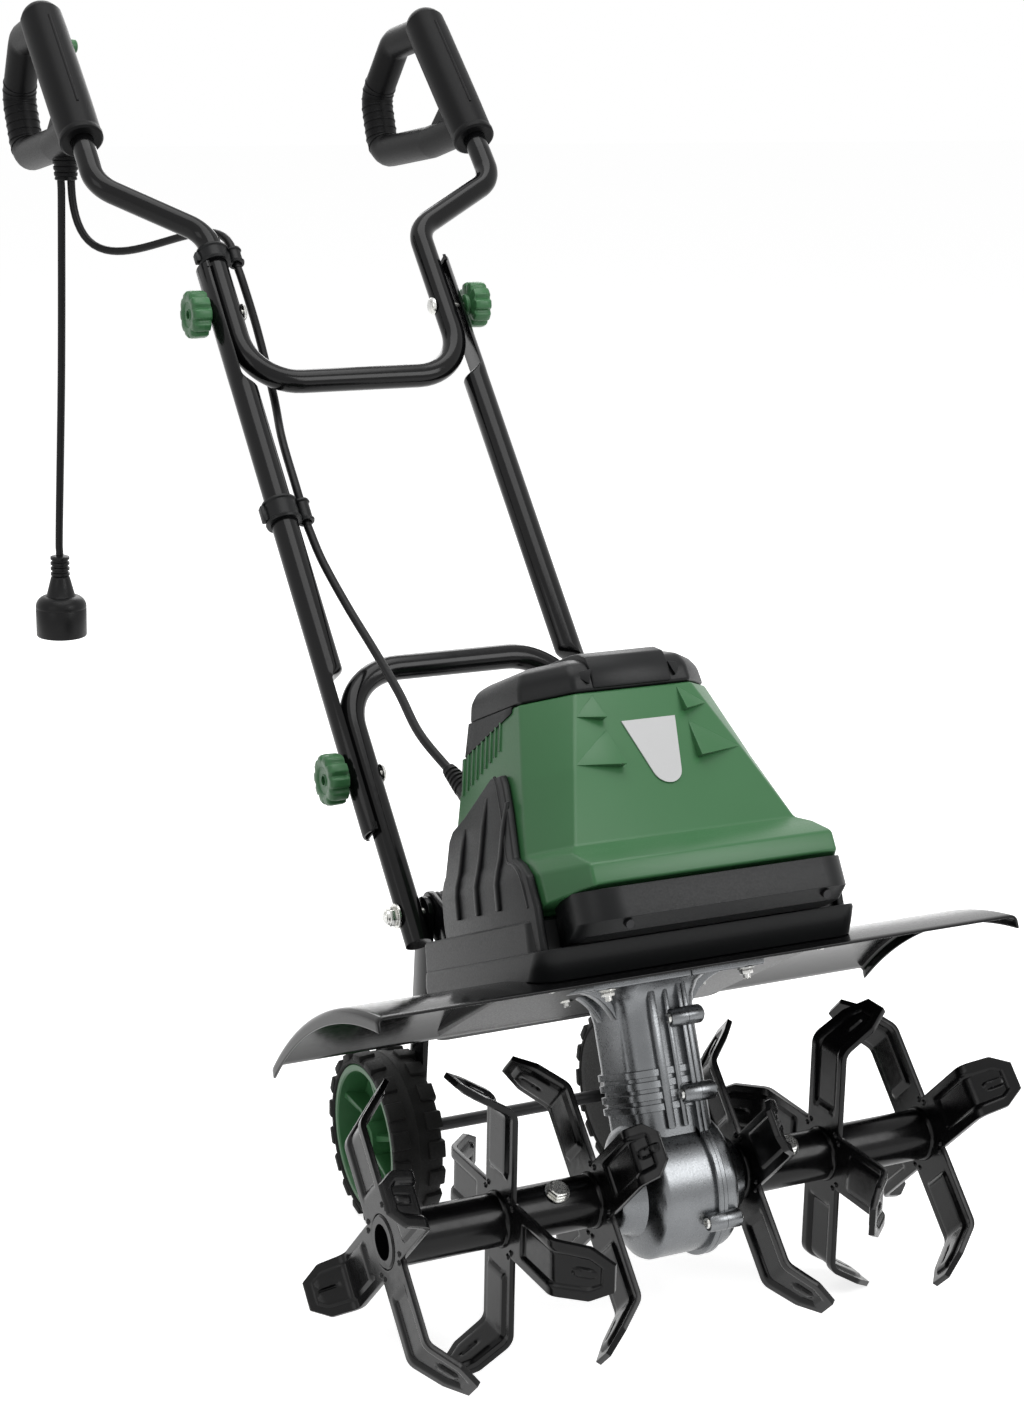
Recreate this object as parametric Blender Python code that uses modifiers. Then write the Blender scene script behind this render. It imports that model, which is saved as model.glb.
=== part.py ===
"""Electric garden tiller: tine stars on a geared shaft, motor housing, wheels, folding handle and lead."""

import math

import bmesh
import bpy
from mathutils import Matrix, Vector
from mathutils.geometry import interpolate_bezier

# Sizes are in metres. The ground is Z = 0, the machine faces -Y and X is left to right.
GAP = 0.0003
BOLT_GAP = 0.0004
WELD = 0.00001
PAST = 0.010
SHIFT_Y = -0.4223

# Attitude: the chassis stands nose-up on its wheels and tine tips.
PITCH = math.radians(23.5)
HANDLE_SLOPE = math.radians(47.0)
GRIP_LEAN = math.radians(-5.5)

# Tines
TINE_TIP_R = 0.110
TINE_TUBE_R = 0.0184
TINE_TUBE_X = (0.0515, 0.218)
TINE_SHAFT_R = 0.012
TINE_SHAFT_X = 0.200
TINE_BOLT_X = 0.092
TINE_BOLT_R = 0.004
TINE_BOLT_HEAD = 0.0055
BOLT_HEX_R = 0.0075
TINE_BOLT_ANGLE = math.radians(120.0)
STAR_X = {"outer": 0.215, "middle": 0.130, "inner": 0.0585}
STAR_SHEET = 0.004
STAR_FIT = 0.0007
STAR_HOLE_R = TINE_TUBE_R + STAR_FIT
STAR_COLUMNS = 5
ARM_WIDTH = 0.040
ARM_ROOT_R = 0.030
ARM_NECK_R = 0.044
ARM_RIB = 0.0015
TIP_WIDTH = 0.019
FLANK_SHARE = 0.6
FLANK_TAPER = 0.95
BEND_R = 0.078

# Gearbox and motor, in the chassis frame
SEAM_X = 0.016
CASE_R = 0.048
CASE_SIDES = 24
CASE_CAVITY_R = 0.043
CASE_WALL = 0.003
CASE_CONE = 0.008
CASE_LEFT_X = -0.026
CASE_RIGHT_X = 0.030
COLUMN_LEFT_X = -0.027
COLUMN_HALF_Y = 0.033
BOSS_R = 0.027
BOSS_X = 0.049
FLANGE_Z = (0.1415, 0.148)
FLANGE_Y = (-0.058, 0.022)
FLANGE_X = (-0.060, 0.075)
GUSSET_Y = (-0.018, -0.008)
GUSSET_Z = 0.095
GUSSET_ROOT = 0.002
LUG_R = 0.0065
LUG_LENGTH = 0.012
LUG_PLACES = (
    (-0.037, 0.115),
    (-0.038, 0.062),
    (-0.044, -0.027),
    (0.037, 0.115),
    (0.038, 0.062),
    (0.044, -0.027),
)
BEARING_R = 0.0205
BEARING_X = (0.0305, 0.0425)
GEAR_R = 0.038
GEAR_TEETH = 24
GEAR_X = (-0.022, -0.0085)
TOOTH_DEPTH = 0.0026
TOOTH_RAMP = 0.001
PINION_TEETH = 6
PINION_Z = (0.0225, 0.0380)
PINION_ROOT = 0.74
DRIVE_R = 0.008
DRIVE_TOP_Z = 0.312
DRIVE_BORE_R = 0.0125
ROTOR_R = 0.0350
ROTOR_Z = (0.186, 0.256)
FAN_R = 0.056
FAN_Z = (0.276, 0.296)
FAN_HUB_R = 0.016
FAN_DISC = 0.003
FAN_BLADES = 6
FAN_BLADE_HALF = 0.0012
ROTOR_SIDES = 20
STATOR_R = (0.0362, 0.052)
STATOR_Z = (0.1742, 0.262)

# Guard and housing, in the chassis frame
GUARD_R = 0.300
GUARD_PEAK = (-0.045, 0.158)
GUARD_Y = (-0.123, 0.088)
GUARD_HALF_X = 0.246
GUARD_SHEET = 0.002
GUARD_LIP = 0.010
GUARD_STEPS = 8
SHAFT_HOLE_R = 0.016
BASE_STEP_Z = 0.1735
BASE_TOP_Z = 0.1945
BASE_FLOOR_Z = 0.165
BASE_WALL = 0.005
BASE_CORNER = 0.008
BASE_INNER_CORNER = 0.006
BASE_REAR = 0.0965
# Height, half-width, front and rear of each section of the base.
BASE_SECTIONS = (
    (0.1120, 0.1245, -0.1060, BASE_REAR),
    (0.1500, 0.1245, -0.1080, BASE_REAR),
    (BASE_STEP_Z, 0.1225, -0.1190, 0.0920),
    (BASE_STEP_Z + GAP, 0.1215, -0.1005, 0.0915),
    (BASE_TOP_Z, 0.1195, -0.1005, 0.0890),
)
ARCH_SIDES = 72
COVER_WALL = 0.003
CHEEK_WALL = 0.006
# Height, front crease (x, y), side crease (x, y), rear of the side (y), rear crease (x, y).
COVER_SECTIONS = (
    (0.1951, 0.0880, -0.0980, 0.1110, -0.0840, 0.0500, 0.0800, 0.0820),
    (0.1990, 0.0880, -0.0980, 0.1110, -0.0840, 0.0500, 0.0800, 0.0820),
    (0.2030, 0.0905, -0.1480, 0.1110, -0.1120, 0.0500, 0.0800, 0.0820),
    (0.2240, 0.0885, -0.1460, 0.1095, -0.1060, 0.0500, 0.0780, 0.0810),
    (0.2330, 0.0885, -0.1240, 0.1065, -0.0920, 0.0500, 0.0760, 0.0800),
    (0.2380, 0.0765, -0.1135, 0.1040, -0.0760, 0.0500, 0.0750, 0.0800),
    (0.2900, 0.0555, -0.0930, 0.0900, -0.0590, 0.0490, 0.0620, 0.0760),
    (0.3440, 0.0345, -0.0715, 0.0740, -0.0400, 0.0460, 0.0500, 0.0700),
)
CAP_SECTIONS = (
    (0.3435, 0.0345, -0.0713, 0.0738, -0.0399, 0.0460, 0.0500, 0.0698),
    (0.3600, 0.0345, -0.0680, 0.0690, -0.0380, 0.0430, 0.0470, 0.0640),
    (0.3690, 0.0310, -0.0540, 0.0570, -0.0270, 0.0340, 0.0390, 0.0520),
)
# Height, front edge and rear edge of each cheek of the base.
CHEEK_ROWS = (
    (0.1660, -0.1060, 0.0480),
    (0.2030, -0.1060, 0.0480),
    (0.2240, -0.0980, 0.0480),
    (0.2330, -0.0840, 0.0480),
    (0.2380, -0.0700, 0.0480),
    (0.2620, -0.0580, 0.0460),
    (0.2800, -0.0480, 0.0100),
    (0.2900, -0.0420, -0.0100),
    (0.2960, -0.0340, -0.0220),
)
BUMPER_HALF_X = 0.0955
BUMPER_END = 0.006
BUMPER_SWEEP = 0.012
BUMPER_WALL = 0.004
BUMPER_HOLLOW_Y = (-0.138, 0.0)
BUMPER_HOLLOW_Z = (0.1785, 0.1955)
BUMPER_FACE = (
    (-0.1020, 0.1990),
    (-0.1475, 0.2012),
    (-0.1550, 0.1900),
    (-0.1500, 0.1810),
    (-0.1240, 0.1742),
    (-0.1020, 0.1742),
)

# Wheels and their carriage
PIVOT = (0.2285, 0.2497)
PIVOT_BOLT_R = 0.004
PIVOT_WASHER_R = 0.0095
BRACKET_SHEET = 0.0048
BRACKET_R = 0.015
BRACKET_FOOT_Z = (0.140, 0.196)
ARM_SHEET = 0.0048
STACK_GAP = 0.0007
ARM_HALF_WIDTH = 0.012
WHEEL_R = 0.067
WHEEL_Y = 0.243
WHEEL_WIDTH = 0.042
WHEEL_GAP = 0.0012
RIM_R = 0.0574
RIM_SPOKES = 5
RIM_HOLE_AT = 0.033
RIM_HOLE_R = 0.0105
# Inset from the inner face of the wheel, from its middle or from its outer face, and radius.
RIM_INNER = ((0.001, 0.013), (0.003, 0.052))
RIM_WEB = ((-0.006, 0.016), (-0.006, 0.047), (-0.001, 0.049), (-0.001, 0.018))
RIM_OUTER = ((0.002, 0.054), (0.002, 0.014))
WHEEL_SIDES = 22
SIDEWALL_R = 0.061
AXLE_R = 0.005
AXLE_PAST_WHEEL = 0.006
AXLE_CAP_R = 0.0085
SPRING_WIDTH = 0.016
SPRING_GAP = 0.002
SPRING_COIL_R = 0.0125
SPRING_WIRE_R = 0.0016
SPRING_TURNS = 3.5
SPRING_POINTS = 8
SPRING_LEG = 0.022
PIVOT_BOLT_PAST = (0.0035, 0.011)

# Handle: the lower bow, the middle tubes and the upper bow turn about the clamp knobs' bolts.
LOWER_KNOB = (0.309, 0.336)
TUBE_R = 0.010
TUBE_WALL = 0.0015
BOW_X = 0.098
LOWER_BEND_R = 0.050
UPPER_BEND_R = 0.045
PIVOT_TO_KNOB = math.dist(PIVOT, LOWER_KNOB)
LEG_PAST_PIVOT = 0.025
LOWER_BAR_Y = 0.090
MIDDLE_R = 0.011
MIDDLE_LAP = 0.003
MIDDLE_X = BOW_X + TUBE_R - MIDDLE_LAP
KNOB_SPACING = 0.437
MIDDLE_ENDS = (-0.050, KNOB_SPACING + 0.047)
MIDDLE_FLATS = (0.086, KNOB_SPACING - 0.072)
FLAT_STEP = 0.004
SLIT_FROM_FLAT = (0.0029, 0.0045)
SLIT_HALF_Z = 0.0055
UPPER_BAR_Y = -0.0715
CRANK_BEND_R = 0.028
KNOB_BOLT_R = 0.003
KNOB_R = 0.020
KNOB_LOBES = 10
KNOB_FLUTE = 0.90
KNOB_NECK_R = 0.009
KNOB_RECESS_R = 0.0065
KNOB_GAP = 0.0004
KNOB_NECK = 0.0036
KNOB_DEPTH = 0.016
KNOB_RECESS = 0.0055
KNOB_NUT_GAP = 0.0005
KNOB_HEAD = 0.0045

# Side to side, what a bolt clamps is stacked outwards and inwards from the bow's tube.
TUBE_SIDES = (BOW_X - TUBE_R, BOW_X + TUBE_R)
ARM_X = (TUBE_SIDES[0] - STACK_GAP - ARM_SHEET, TUBE_SIDES[0] - STACK_GAP)
BRACKET_X = (ARM_X[0] - STACK_GAP - BRACKET_SHEET, ARM_X[0] - STACK_GAP)
SPRING_X = (BRACKET_X[0] - SPRING_GAP - SPRING_WIDTH, BRACKET_X[0] - SPRING_GAP)
PIVOT_BOLT_X = (SPRING_X[0] - PIVOT_BOLT_PAST[0], TUBE_SIDES[1] + PIVOT_BOLT_PAST[1])
WHEEL_X = (ARM_X[1] + WHEEL_GAP, ARM_X[1] + WHEEL_GAP + WHEEL_WIDTH)
AXLE_END_X = WHEEL_X[1] + AXLE_PAST_WHEEL
FLAT_X = TUBE_SIDES[1] + GAP
SLIT_X = (FLAT_X + SLIT_FROM_FLAT[0], FLAT_X + SLIT_FROM_FLAT[1])
KNOB_FOOT = MIDDLE_X + MIDDLE_R + KNOB_GAP
KNOB_X = (KNOB_FOOT, KNOB_FOOT + KNOB_NECK, KNOB_FOOT + KNOB_NECK + KNOB_DEPTH)
KNOB_RECESS_X = KNOB_X[2] - KNOB_RECESS
KNOB_BOLT_X = (TUBE_SIDES[0] - KNOB_HEAD, KNOB_RECESS_X - KNOB_NUT_GAP)

# Grips, in a frame on the grip's ring with Y along the grip
GRIP_X = 0.184
GRIP_Y = 0.183
UPPER_CRANK = ((BOW_X, 0.083, 0.0), (GRIP_X, 0.1345, 0.003))
GRIP_R = 0.019
GRIP_LENGTH = 0.165
GRIP_TUBE = 0.142
GRIP_SIDES = 18
# Drop below the grip's end and share of its radius.
GRIP_DOME = ((0.010, 1.0), (0.003, 0.82), (0.0, 0.45))
GRIP_NECK = 0.017
BOW_R = 0.013
GRIP_BOW = (
    (0.022, -0.006),
    (0.060, -0.062),
    (0.128, -0.143),
    (0.179, -0.120),
    (0.184, -0.055),
    (0.145, -0.004),
)
BOW_BEND_R = 0.022
BOW_TILT = 0.05
LEVER_Y = (0.068, 0.134)
LEVER_HALF_X = 0.005
LEVER_PIVOT = (0.130, -0.0165)
LEVER_NOSE = ((0.012, -0.0015), (0.0, -0.0035), (0.0, -0.0150), (0.014, -0.0200))
LEVER_HEEL = ((0.003, -0.006), (-0.003, 0.004), (-0.022, -0.0155))
LEVER_SLOT_GAP = 0.001
LEVER_SLOT_Z = (-0.040, -0.0115)
BUTTON_Y = 0.116
BUTTON_R = 0.006
BUTTON_X = (0.0148, 0.0235)
BUTTON_POCKET_X = 0.0114
BUTTON_SIDES = 16
BUTTON_CROWN = 0.0015
BOOT_START = (0.0080, 0.0555, -0.0530)
BOOT_LENGTH = 0.034
BOOT_R = 0.0100

# Cords
CABLE_R = 0.0035
CORD_SPREAD = 0.0046
LEAD_LENGTH = 0.335
LEAD_LEAN = 0.010
LEAD_STUB = 0.020
PLUG_SIDES = 18
# Start, end and both radii of each step of the plug, from its strain relief to its face.
PLUG_STEPS = (
    (0.0, 0.024, 0.0055, 0.0075),
    (0.0235, 0.044, 0.0085, 0.0215),
    (0.0435, 0.075, 0.0230, 0.0225),
)
LOOP_DROP = 0.130
LOOP_APPROACH = 0.070
CLIP_TAIL = 0.004
# The lead from the middle clip to the motor cover, in the lower fold frame.
MOTOR_ROUTE = (
    (-0.0845, 0.190, 0.0040),
    (-0.0800, 0.140, 0.0150),
    (-0.0775, 0.090, 0.0330),
    (-0.0790, 0.040, 0.0560),
    (-0.0835, -0.008, 0.0790),
    (-0.0790, -0.0546, 0.1026),
)
GLAND_LENGTH = 0.034
GLAND_R = (0.0050, 0.0080)
CORD_POINTS = 23
LEAD_POINTS = 15
CLIP_WALL = 0.004
CLIP_EYE_WALL = 0.003
CLIP_SWEEP_GAP = 0.0015
CLIP_BEND_GAP = 0.002
CRANK_TURN = math.atan2(UPPER_CRANK[1][0] - UPPER_CRANK[0][0], UPPER_CRANK[1][1] - UPPER_CRANK[0][1])
UPPER_CLIP_TOP = UPPER_CRANK[0][1] - CRANK_BEND_R * math.tan(CRANK_TURN / 2) - CLIP_BEND_GAP
MIDDLE_SWEEP_R = math.hypot(MIDDLE_ENDS[1] - KNOB_SPACING, MIDDLE_R)
UPPER_CLIP_Y = (MIDDLE_SWEEP_R + CLIP_SWEEP_GAP, UPPER_CLIP_TOP)
MIDDLE_CLIP_Y = (0.229, 0.249)
CLIP_CORD_X = 0.0190
CLIP_CORD_GAP = 0.0010

BLACK_PAINT = ((0.012, 0.012, 0.013), 0.32, 0.0)
BLACK_PLASTIC = ((0.018, 0.019, 0.020), 0.50, 0.0)
GREEN_PLASTIC = ((0.030, 0.150, 0.058), 0.42, 0.0)
CAST_METAL = ((0.420, 0.430, 0.440), 0.38, 1.0)
ZINC = ((0.620, 0.620, 0.600), 0.28, 1.0)
STEEL = ((0.380, 0.380, 0.390), 0.35, 1.0)
RUBBER = ((0.010, 0.010, 0.010), 0.78, 0.0)
COPPER = ((0.300, 0.140, 0.070), 0.45, 1.0)

for old in list(bpy.data.objects):
    bpy.data.objects.remove(old, do_unlink=True)
PARTS = bpy.data.collections.new("garden_tiller")
TOOLS = bpy.data.collections.new("boolean_tools")
bpy.context.scene.collection.children.link(PARTS)
bpy.context.scene.collection.children.link(TOOLS)


def frame(name, parent=None, location=(0.0, 0.0, 0.0), turn=0.0):
    """An empty that carries the pieces of one joint axis."""
    empty = bpy.data.objects.new(name, None)
    PARTS.objects.link(empty)
    empty.parent = parent
    empty.location = location
    empty.rotation_euler.x = turn
    return empty


def mesh_of(bm):
    bmesh.ops.remove_doubles(bm, verts=bm.verts, dist=WELD)
    bmesh.ops.recalc_face_normals(bm, faces=bm.faces)
    mesh = bpy.data.meshes.new("shape")
    bm.to_mesh(mesh)
    bm.free()
    return mesh


def part(name, mesh, finish, parent):
    """One node with a material of its own."""
    mesh.name = name
    node = bpy.data.objects.new(name, mesh)
    PARTS.objects.link(node)
    node.parent = parent
    colour, roughness, metallic = finish
    material = bpy.data.materials.new(name)
    material.use_nodes = True
    shader = material.node_tree.nodes["Principled BSDF"]
    shader.inputs["Base Color"].default_value = (*colour, 1.0)
    shader.inputs["Roughness"].default_value = roughness
    shader.inputs["Metallic"].default_value = metallic
    mesh.materials.append(material)
    return node


def combine(node, mesh, operation):
    """A Boolean whose tool shares the node's frame."""
    tool = bpy.data.objects.new(f"{node.name}_tool_{len(node.modifiers)}", mesh)
    TOOLS.objects.link(tool)
    tool.parent = node.parent
    tool.hide_render = True
    tool.display_type = "WIRE"
    modifier = node.modifiers.new(tool.name, "BOOLEAN")
    modifier.operation = operation
    modifier.solver = "EXACT"
    modifier.object = tool


def cut(node, *meshes):
    for mesh in meshes:
        combine(node, mesh, "DIFFERENCE")


def join(node, *meshes):
    for mesh in meshes:
        combine(node, mesh, "UNION")


def thicken(node, thickness, offset):
    modifier = node.modifiers.new("wall", "SOLIDIFY")
    modifier.thickness = thickness
    modifier.offset = offset
    modifier.use_even_offset = True


def block(x_span, y_span, z_span, bevel=0.0):
    bm = bmesh.new()
    bmesh.ops.create_cube(bm, size=1.0)
    middle = [sum(span) / 2 for span in (x_span, y_span, z_span)]
    sides = [abs(span[1] - span[0]) for span in (x_span, y_span, z_span)]
    bmesh.ops.scale(bm, vec=sides, verts=bm.verts)
    bmesh.ops.translate(bm, vec=middle, verts=bm.verts)
    if bevel:
        bmesh.ops.bevel(bm, geom=bm.edges[:], offset=bevel, segments=1, affect="EDGES", profile=0.5)
    return mesh_of(bm)


def rod(start, end, radius, end_radius=None, sides=16):
    """A cylinder or cone from one point to another."""
    start = Vector(start)
    run = Vector(end) - start
    turn = run.to_track_quat("Z", "Y").to_matrix().to_4x4()
    place = Matrix.Translation(start + run / 2) @ turn
    bm = bmesh.new()
    bmesh.ops.create_cone(
        bm,
        cap_ends=True,
        segments=sides,
        radius1=radius,
        radius2=radius if end_radius is None else end_radius,
        depth=run.length,
        matrix=place,
    )
    return mesh_of(bm)


def rod_x(x_span, radius, centre=(0.0, 0.0), sides=16, end_radius=None):
    return rod((x_span[0], *centre), (x_span[1], *centre), radius, end_radius, sides)


def rod_z(z_span, radius, centre=(0.0, 0.0), sides=16, end_radius=None):
    return rod((*centre, z_span[0]), (*centre, z_span[1]), radius, end_radius, sides)


def turned(profile, sides, axis):
    """A closed outline of (distance along, radius) points spun about an axis of the frame."""
    axis = Vector(axis)
    bm = bmesh.new()
    points = [bm.verts.new(axis * along + Vector((0.0, 0.0, radius))) for along, radius in profile]
    edges = [bm.edges.new((a, b)) for a, b in zip(points, points[1:] + points[:1])]
    bmesh.ops.spin(
        bm, geom=points + edges, axis=axis, cent=(0, 0, 0), angle=math.tau, steps=sides, use_merge=True
    )
    return mesh_of(bm)


def plate_x(outline, x_span):
    """A flat outline of (y, z) points given a thickness along X."""
    bm = bmesh.new()
    face = bm.faces.new([bm.verts.new((x_span[0], y, z)) for y, z in outline])
    raised = bmesh.ops.extrude_face_region(bm, geom=[face])["geom"]
    lifted = [item for item in raised if isinstance(item, bmesh.types.BMVert)]
    bmesh.ops.translate(bm, vec=(x_span[1] - x_span[0], 0, 0), verts=lifted)
    return mesh_of(bm)


def skin(sections, closed=True, capped=(False, False)):
    """Quads from each row of points to the next, for hulls whose sections change."""
    bm = bmesh.new()
    loops = [[bm.verts.new(point) for point in section] for section in sections]
    count = len(loops[0])
    for lower, upper in zip(loops, loops[1:]):
        for index in range(count if closed else count - 1):
            after = (index + 1) % count
            bm.faces.new((lower[index], lower[after], upper[after], upper[index]))
    if capped[0]:
        bm.faces.new(loops[0])
    if capped[1]:
        bm.faces.new(loops[-1])
    return mesh_of(bm)


def swept(points, radius, resolution):
    """A round bar along a line of points, with its end caps welded on."""
    curve = bpy.data.curves.new("sweep", "CURVE")
    curve.dimensions = "3D"
    curve.bevel_depth = radius
    curve.bevel_resolution = resolution
    curve.use_fill_caps = True
    spline = curve.splines.new("POLY")
    spline.points.add(len(points) - 1)
    for knot, point in zip(spline.points, points):
        knot.co = (*point, 1.0)
    guide = bpy.data.objects.new("sweep", curve)
    PARTS.objects.link(guide)
    graph = bpy.context.evaluated_depsgraph_get()
    mesh = bpy.data.meshes.new_from_object(guide.evaluated_get(graph))
    bpy.data.objects.remove(guide, do_unlink=True)
    bm = bmesh.new()
    bm.from_mesh(mesh)
    return mesh_of(bm)


def filleted(corners, radii, steps=3):
    """The corners' path with each inner corner rounded to its own radius."""
    corners = [Vector(corner) for corner in corners]
    path = [corners[0]]
    for before, corner, after, radius in zip(corners, corners[1:], corners[2:], radii):
        into = (corner - before).normalized()
        out = (after - corner).normalized()
        bend = into.angle(out)
        reach = radius * math.tan(bend / 2)
        start = corner - into * reach
        end = corner + out * reach
        if bend < math.radians(8.0):
            path.append(corner)
            continue
        centre = corner + (out - into).normalized() * radius / math.cos(bend / 2)
        for step in range(steps + 1):
            spot = start.lerp(corner, step / steps).lerp(corner.lerp(end, step / steps), step / steps)
            path.append(centre + (spot - centre).normalized() * radius)
    path.append(corners[-1])
    return path


def smooth_route(route, count):
    """Points evenly spaced along a smooth curve through the route's own points."""
    knots = [Vector(point) for point in route]
    ends = [knots[0] * 2 - knots[1], *knots, knots[-1] * 2 - knots[-2]]
    fine = []
    for a, b, c, d in zip(ends, ends[1:], ends[2:], ends[3:]):
        for step in range(24):
            t = step / 24
            rise = (c - a) * t
            ease = (2 * a - 5 * b + 4 * c - d) * t**2
            swing = (3 * b - a - 3 * c + d) * t**3
            fine.append(b + (rise + ease + swing) / 2)
    fine.append(knots[-1])
    lengths = [0.0]
    for a, b in zip(fine, fine[1:]):
        lengths.append(lengths[-1] + (b - a).length)
    points = []
    index = 0
    for step in range(count):
        wanted = lengths[-1] * step / (count - 1)
        while index < len(fine) - 2 and lengths[index + 1] < wanted:
            index += 1
        share = (wanted - lengths[index]) / (lengths[index + 1] - lengths[index])
        points.append(fine[index].lerp(fine[index + 1], share))
    return points


def route_length(points):
    return sum((b - a).length for a, b in zip(points, points[1:]))


def least_self_gap(points, radius, apart):
    """The smallest clear distance between points at least so many steps apart along the wire."""
    gaps = [(a - b).length for index, a in enumerate(points) for b in points[index + apart :]]
    return min(gaps) - 2 * radius


def pipe(name, corners, radius, bends, finish, parent):
    """A hollow bent tube, open at both ends."""
    path = filleted(corners, bends)
    node = part(name, swept(path, radius, 3), finish, parent)
    longer = [path[0] + (path[0] - path[1]).normalized() * PAST, *path]
    longer.append(path[-1] + (path[-1] - path[-2]).normalized() * PAST)
    cut(node, swept(longer, radius - TUBE_WALL, 2))
    return node


def hex_rod(x_span, radius, centre=(0.0, 0.0)):
    return rod_x(x_span, radius, centre, sides=6)


ROOT = frame("tiller_frame", location=(0.0, SHIFT_Y, 0.0))
CHASSIS = frame("chassis_frame", ROOT, (0.0, 0.0, TINE_TIP_R), -PITCH)
TINE_AXIS = frame("tine_axis", ROOT, (0.0, 0.0, TINE_TIP_R))
DRIVE_AXIS = frame("drive_axis", CHASSIS)
PIVOT_AXIS = frame("wheel_pivot_axis", ROOT, (0.0, *PIVOT))
WHEEL_AXIS = frame("wheel_axis", ROOT, (0.0, WHEEL_Y, WHEEL_R))
FOLD_AXIS = frame("handle_fold_axis", ROOT, (0.0, *LOWER_KNOB), HANDLE_SLOPE)
UPPER_AXIS = frame("upper_fold_axis", FOLD_AXIS, (0.0, KNOB_SPACING, 0.0))
SIDES = {"left": -1.0, "right": 1.0}


def tine_star(name, x, side, first_arm, arms):
    """A pressed cross of four arms, each given by its bend side and angle and its bend and tip radii."""
    columns = range(STAR_COLUMNS)
    last = STAR_COLUMNS - 1
    bm = bmesh.new()
    for index, (way, angle, bend_r, tip_r) in enumerate(arms):
        heading = math.radians(first_arm + 90.0 * index)
        along = Vector((0.0, math.cos(heading), math.sin(heading)))
        across = Vector((0.0, -math.sin(heading), math.cos(heading)))
        lean = math.radians(angle)
        blade = along * math.cos(lean) + Vector((way * side * math.sin(lean), 0.0, 0.0))
        length = (tip_r - bend_r - STAR_SHEET / 2 * math.sin(lean)) / math.cos(lean)
        spread = [ARM_WIDTH * (column / last - 0.5) for column in columns]
        hole = []
        shoulder = []
        for column, offset in enumerate(spread):
            sweep = math.radians(90.0 * (column / last - 0.5))
            hole.append((along * math.cos(sweep) + across * math.sin(sweep)) * STAR_HOLE_R)
            root = ARM_WIDTH / 2 if column in (0, last) else ARM_ROOT_R
            shoulder.append(along * root + across * offset)
        rib = [Vector((way * side * ARM_RIB * (2 * column == last), 0.0, 0.0)) for column in columns]
        neck = [along * ARM_NECK_R + across * offset + lift for offset, lift in zip(spread, rib)]
        bend = [along * bend_r + across * offset + lift for offset, lift in zip(spread, rib)]
        flank_spot = bend_r * along + blade * length * FLANK_SHARE
        flank = [flank_spot + across * offset * FLANK_TAPER for offset in spread]
        point = bend_r * along + blade * length
        tip = [point + across * offset * TIP_WIDTH / ARM_WIDTH for offset in spread]
        rows = [hole, shoulder, neck, bend, flank, tip]
        loops = [[bm.verts.new(spot) for spot in row] for row in rows]
        for lower, upper in zip(loops, loops[1:]):
            for column in range(last):
                after = column + 1
                bm.faces.new((lower[column], lower[after], upper[after], upper[column]))
    bmesh.ops.translate(bm, vec=(x * side, 0.0, 0.0), verts=bm.verts)
    star = part(name, mesh_of(bm), BLACK_PAINT, TINE_AXIS)
    thicken(star, STAR_SHEET, 0.0)


# Each arm of a star: bend side (+1 away from the middle), bend angle in degrees, bend radius, tip radius.
OUTER_IN = (-1, 45.0, BEND_R, TINE_TIP_R)
OUTER_OUT = (1, 62.0, BEND_R, 0.096)
MIDDLE_OUT = (1, 58.0, 0.084, TINE_TIP_R)
MIDDLE_IN = (-1, 45.0, BEND_R, TINE_TIP_R)
INNER_OUT = (1, 45.0, BEND_R, TINE_TIP_R)
INNER_IN = (-1, 45.0, BEND_R, 0.095)


def make_tines():
    shaft = part("tine_shaft", rod_x((-TINE_SHAFT_X, TINE_SHAFT_X), TINE_SHAFT_R), STEEL, TINE_AXIS)
    aim = Vector((0.0, math.cos(TINE_BOLT_ANGLE), math.sin(TINE_BOLT_ANGLE)))
    for hand, side in SIDES.items():
        span = tuple(side * x for x in TINE_TUBE_X)
        tube = part(f"{hand}_tine_tube", rod_x(span, TINE_TUBE_R), BLACK_PAINT, TINE_AXIS)
        bore = rod_x((span[0] - side * PAST, span[1] + side * PAST), TINE_SHAFT_R + GAP)
        cut(tube, bore)
        centre = Vector((side * TINE_BOLT_X, 0.0, 0.0))
        reach = aim * (TINE_TUBE_R + PAST)
        hole = rod(centre - reach, centre + reach, TINE_BOLT_R + BOLT_GAP, sides=12)
        cut(tube, hole)
        cut(shaft, hole.copy())
        seat = aim * (TINE_TUBE_R + GAP)
        shank = rod(centre - seat * 1.35, centre + seat * 1.1, TINE_BOLT_R, sides=12)
        bolt = part(f"{hand}_tine_bolt", shank, ZINC, TINE_AXIS)
        head = aim * TINE_BOLT_HEAD
        join(bolt, rod(centre + seat, centre + seat + head, BOLT_HEX_R, sides=6))
        join(bolt, rod(centre - seat, centre - seat - head, BOLT_HEX_R, sides=6))
        outer = (OUTER_IN, OUTER_OUT, OUTER_IN, OUTER_OUT)
        middle = (MIDDLE_IN, MIDDLE_OUT, MIDDLE_IN, MIDDLE_OUT)
        inner = (INNER_OUT, INNER_IN, INNER_OUT, INNER_IN)
        tine_star(f"{hand}_outer_star", STAR_X["outer"], side, 45.0, outer)
        tine_star(f"{hand}_middle_star", STAR_X["middle"], side, 0.0, middle)
        tine_star(f"{hand}_inner_star", STAR_X["inner"], side, 45.0, inner)
    make_crown_gear()


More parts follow.
